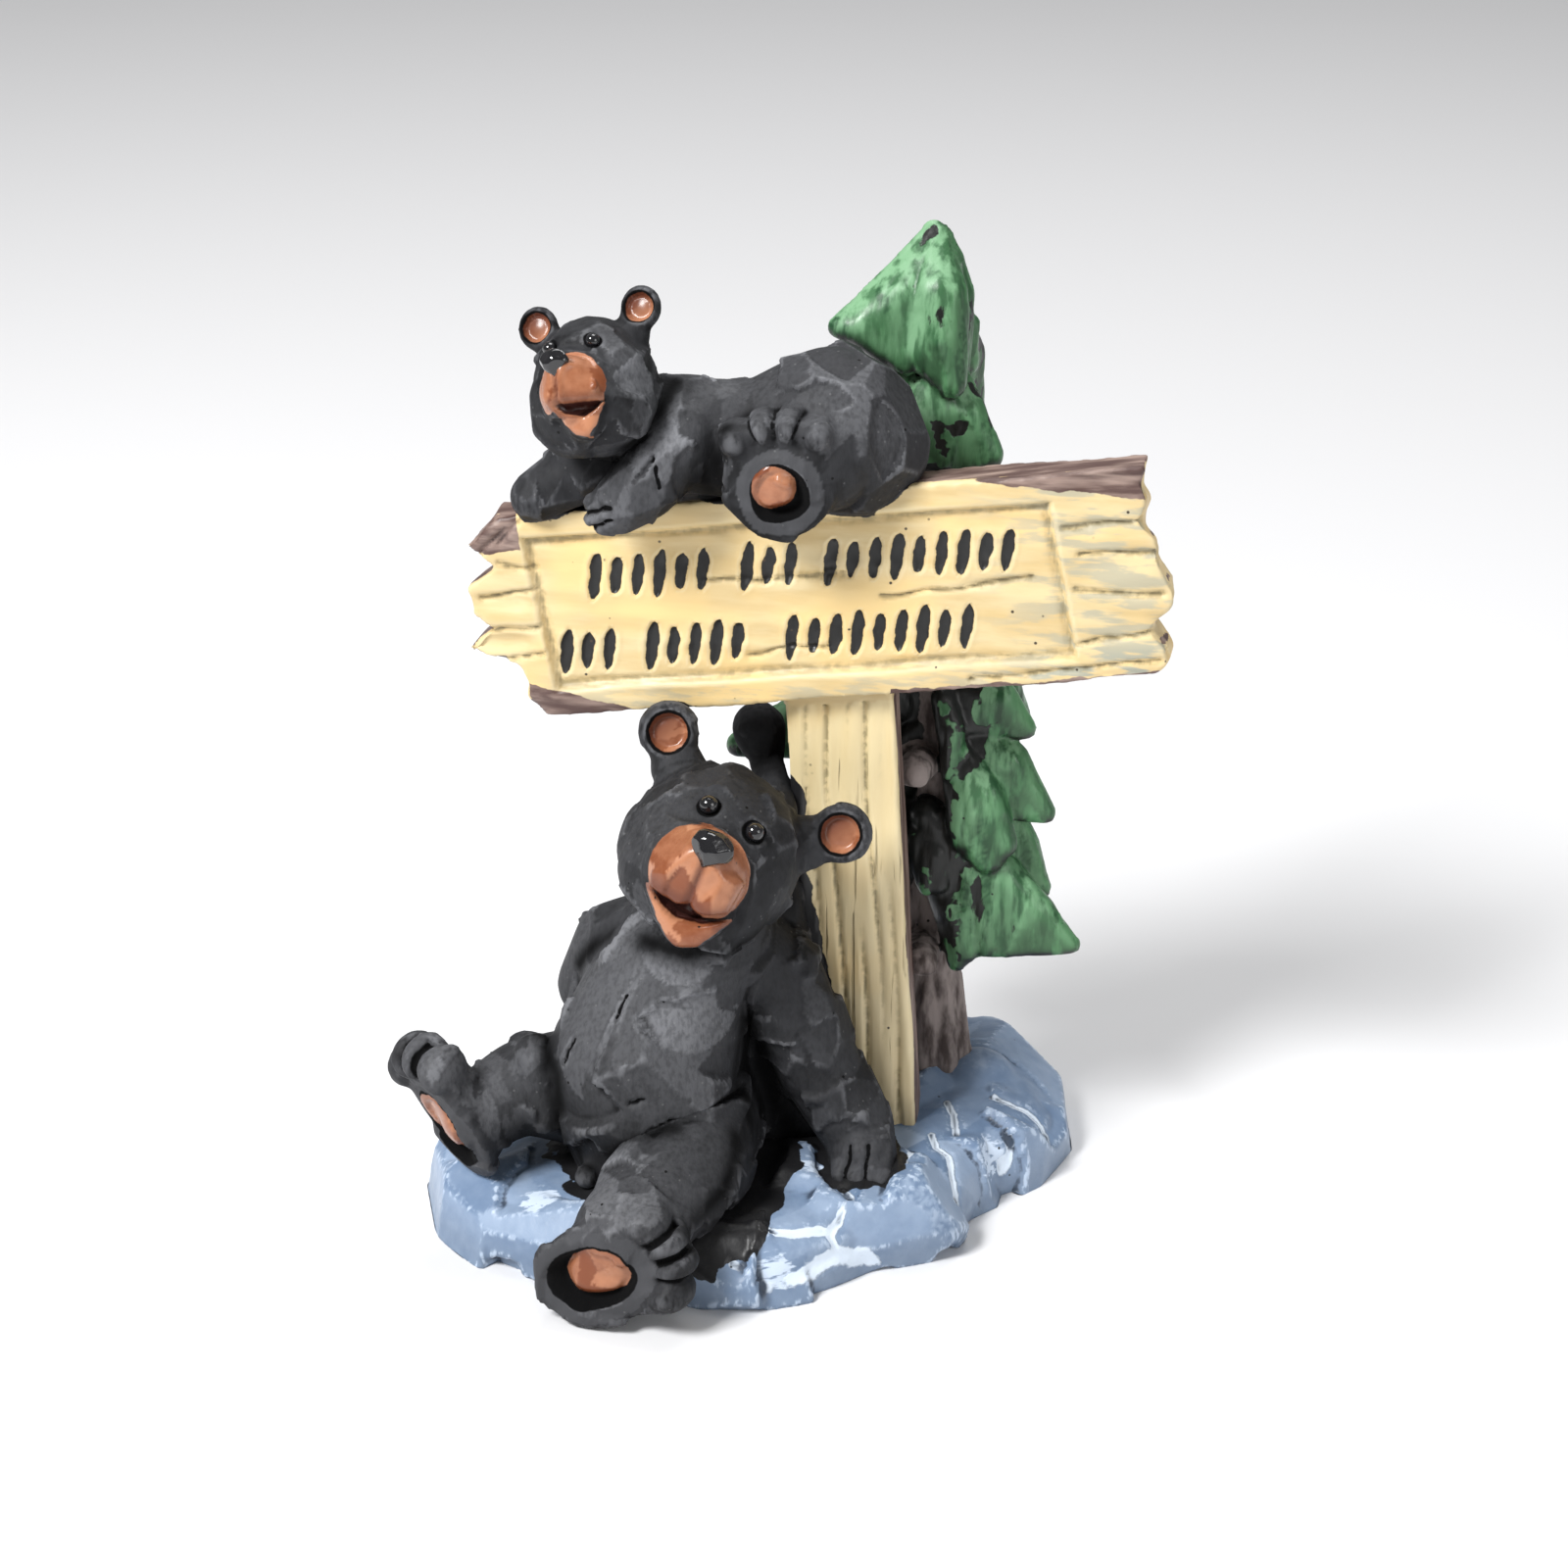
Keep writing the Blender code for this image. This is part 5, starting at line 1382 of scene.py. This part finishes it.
lay_forms(climber_forms, perched, (
    ("hull", (4.4, 7.2, -1.0, 9.5), (6.2, 5.0, -1.0, 9.0), (-4.0, 5.8, -0.6, 7.6)),
    ("hull", (-4.0, 5.8, -0.6, 7.6), (-12.0, 7.0, 0.6, 7.0), (-17.0, 9.5, 2.4, 6.0)),
    ("limb", (4.0, 5.0, 3.5, 7.2), (-0.4, 4.2, 6.5, 6.0)),
    ("limb", (-12.5, 8.6, 4.0, 5.2), (-17.7, 3.6, 7.2, 4.2), (-21.0, 2.2, 7.6, 3.2)),
    ("hull", (-21.0, 2.6, 8.2, 1.9), (-23.9, 2.8, 9.0, 1.1)),
    ("hull", (-21.0, 1.4, 8.6, 1.9), (-24.1, 0.8, 9.3, 1.1)),
    ("hull", (-20.6, 0.6, 8.4, 1.9), (-22.8, -0.5, 9.0, 1.1)),
    ("limb", (-19.0, 6.0, 0.0, 5.0), (-27.8, 3.4, 0.6, 4.0), (-32.4, 1.6, 2.0, 2.8)),
))
for part in (climber_head, climber_foot):
    part.block(climber_forms)
climber = melt(climber_forms, CLIMBER_VOXEL, 6)
climber_spacing = fine_near(climber, (climber_head.centre, climber_foot.centre), 4.2, 2.5, 9.0)
dress(climber, climber_forms.bones, (climber_head, climber_foot), patches=(
    ((-8.8, -12.7, 107.6), 4.0, 1.1), ((-14.2, -13.2, 116.0), 2.0, 1.5), ((-4.9, -4.8, 111.0), 6.0, 0.5),
    ((7.0, -6.0, 113.5), 8.0, 0.55), ((12.6, -12.1, 111.6), 7.0, 0.5), ((2.2, -14.3, 110.0), 4.0, 0.5),
    ((-11.7, -13.8, 103.7), 3.5, 0.8), ((16.0, -8.9, 106.0), 7.0, 0.5), ((-18.7, -7.1, 118.5), 3.0, 0.35),
    ((-16.8, -13.0, 97.0), 4.0, 0.45), ((-25.0, -8.0, 104.0), 5.0, 0.35), ((6.0, 4.0, 112.0), 9.0, 0.6),
), creases=(
    # Lines of painted shade, each with its reach.
    (((-14.0, -12.8, 105.0), (-10.7, -12.0, 108.4), (-8.3, -6.9, 111.1)), 1.8),
    (((-12.9, -12.8, 103.2), (-7.2, -11.4, 98.5), (-3.2, -7.8, 96.3)), 1.6),
    (((-5.8, -11.6, 101.0), (-3.6, -9.0, 97.0)), 2.2),
    (((-2.4, -15.2, 108.1), (-3.6, -12.0, 102.0), (-2.4, -8.1, 96.6)), 1.5),
    (((-22.0, -9.0, 104.0), (-16.0, -10.0, 102.6)), 2.2),
), cuts=(
    ((-10.8, -14.0, 103.8), (-10.3, -14.7, 100.7)),
    (perched(-21.4, 2.4, 10.4), perched(-25.0, 1.9, 10.2), perched(-26.0, 1.9, 8.4)),
    (perched(-21.4, 1.0, 10.5), perched(-24.0, -0.2, 10.4), perched(-24.8, -0.6, 8.4)),
), spacing=climber_spacing, seed=41)
make_piece("climbing_bear", climber, bear_material)
face_beads("climbing_bear_eyes_and_nose", climber_head, bead_material)


# Overspill: the fur's black runs a millimetre or two onto the rock and the post, and black painted
# shade lies on the rock between the lounger's legs and beside its near leg.

SPILL = 1.5
SPILL_ON_SIGN = 0.5
bear_bones = lounger_forms.bones + climber_forms.bones
on_post = local(timber.points, post_place())[:, 1] < POST_HEIGHT - 6.0
for skin, reach in ((rock, SPILL), (timber, np.where(on_post, SPILL, SPILL_ON_SIGN))):
    skin.paint["black_spill_and_shade"] = np.clip(reach - from_bones(skin.points, bear_bones), -4.0, 4.0)
# Black painted shade on the rock between the lounger's legs and beside its near leg.
between_legs = np.linalg.norm((rock.points - seated(-30.0, -22.0, 0.0)) * (0.8, 1.0, 0.6), axis=1)
leg = (seated(-12.0, -14.0, 0.0), seated(-18.0, -31.0, 0.0), seated(-24.0, -36.0, -2.0))
ragged = 0.8 * wobble(rock.points, 5.0, 61) + 0.4 * wobble(rock.points, 2.0, 62)
rock_black_and_shade = np.maximum.reduce((rock.paint["black_spill_and_shade"], 5.5 - between_legs, 4.0 - from_line(rock.points, leg)))
rock.paint["black_spill_and_shade"] = rock_black_and_shade + ragged
make_piece("rock_base", rock, rock_material)
make_piece("post_and_sign", timber, timber_material)
make_piece("conifer", tree, tree_material)
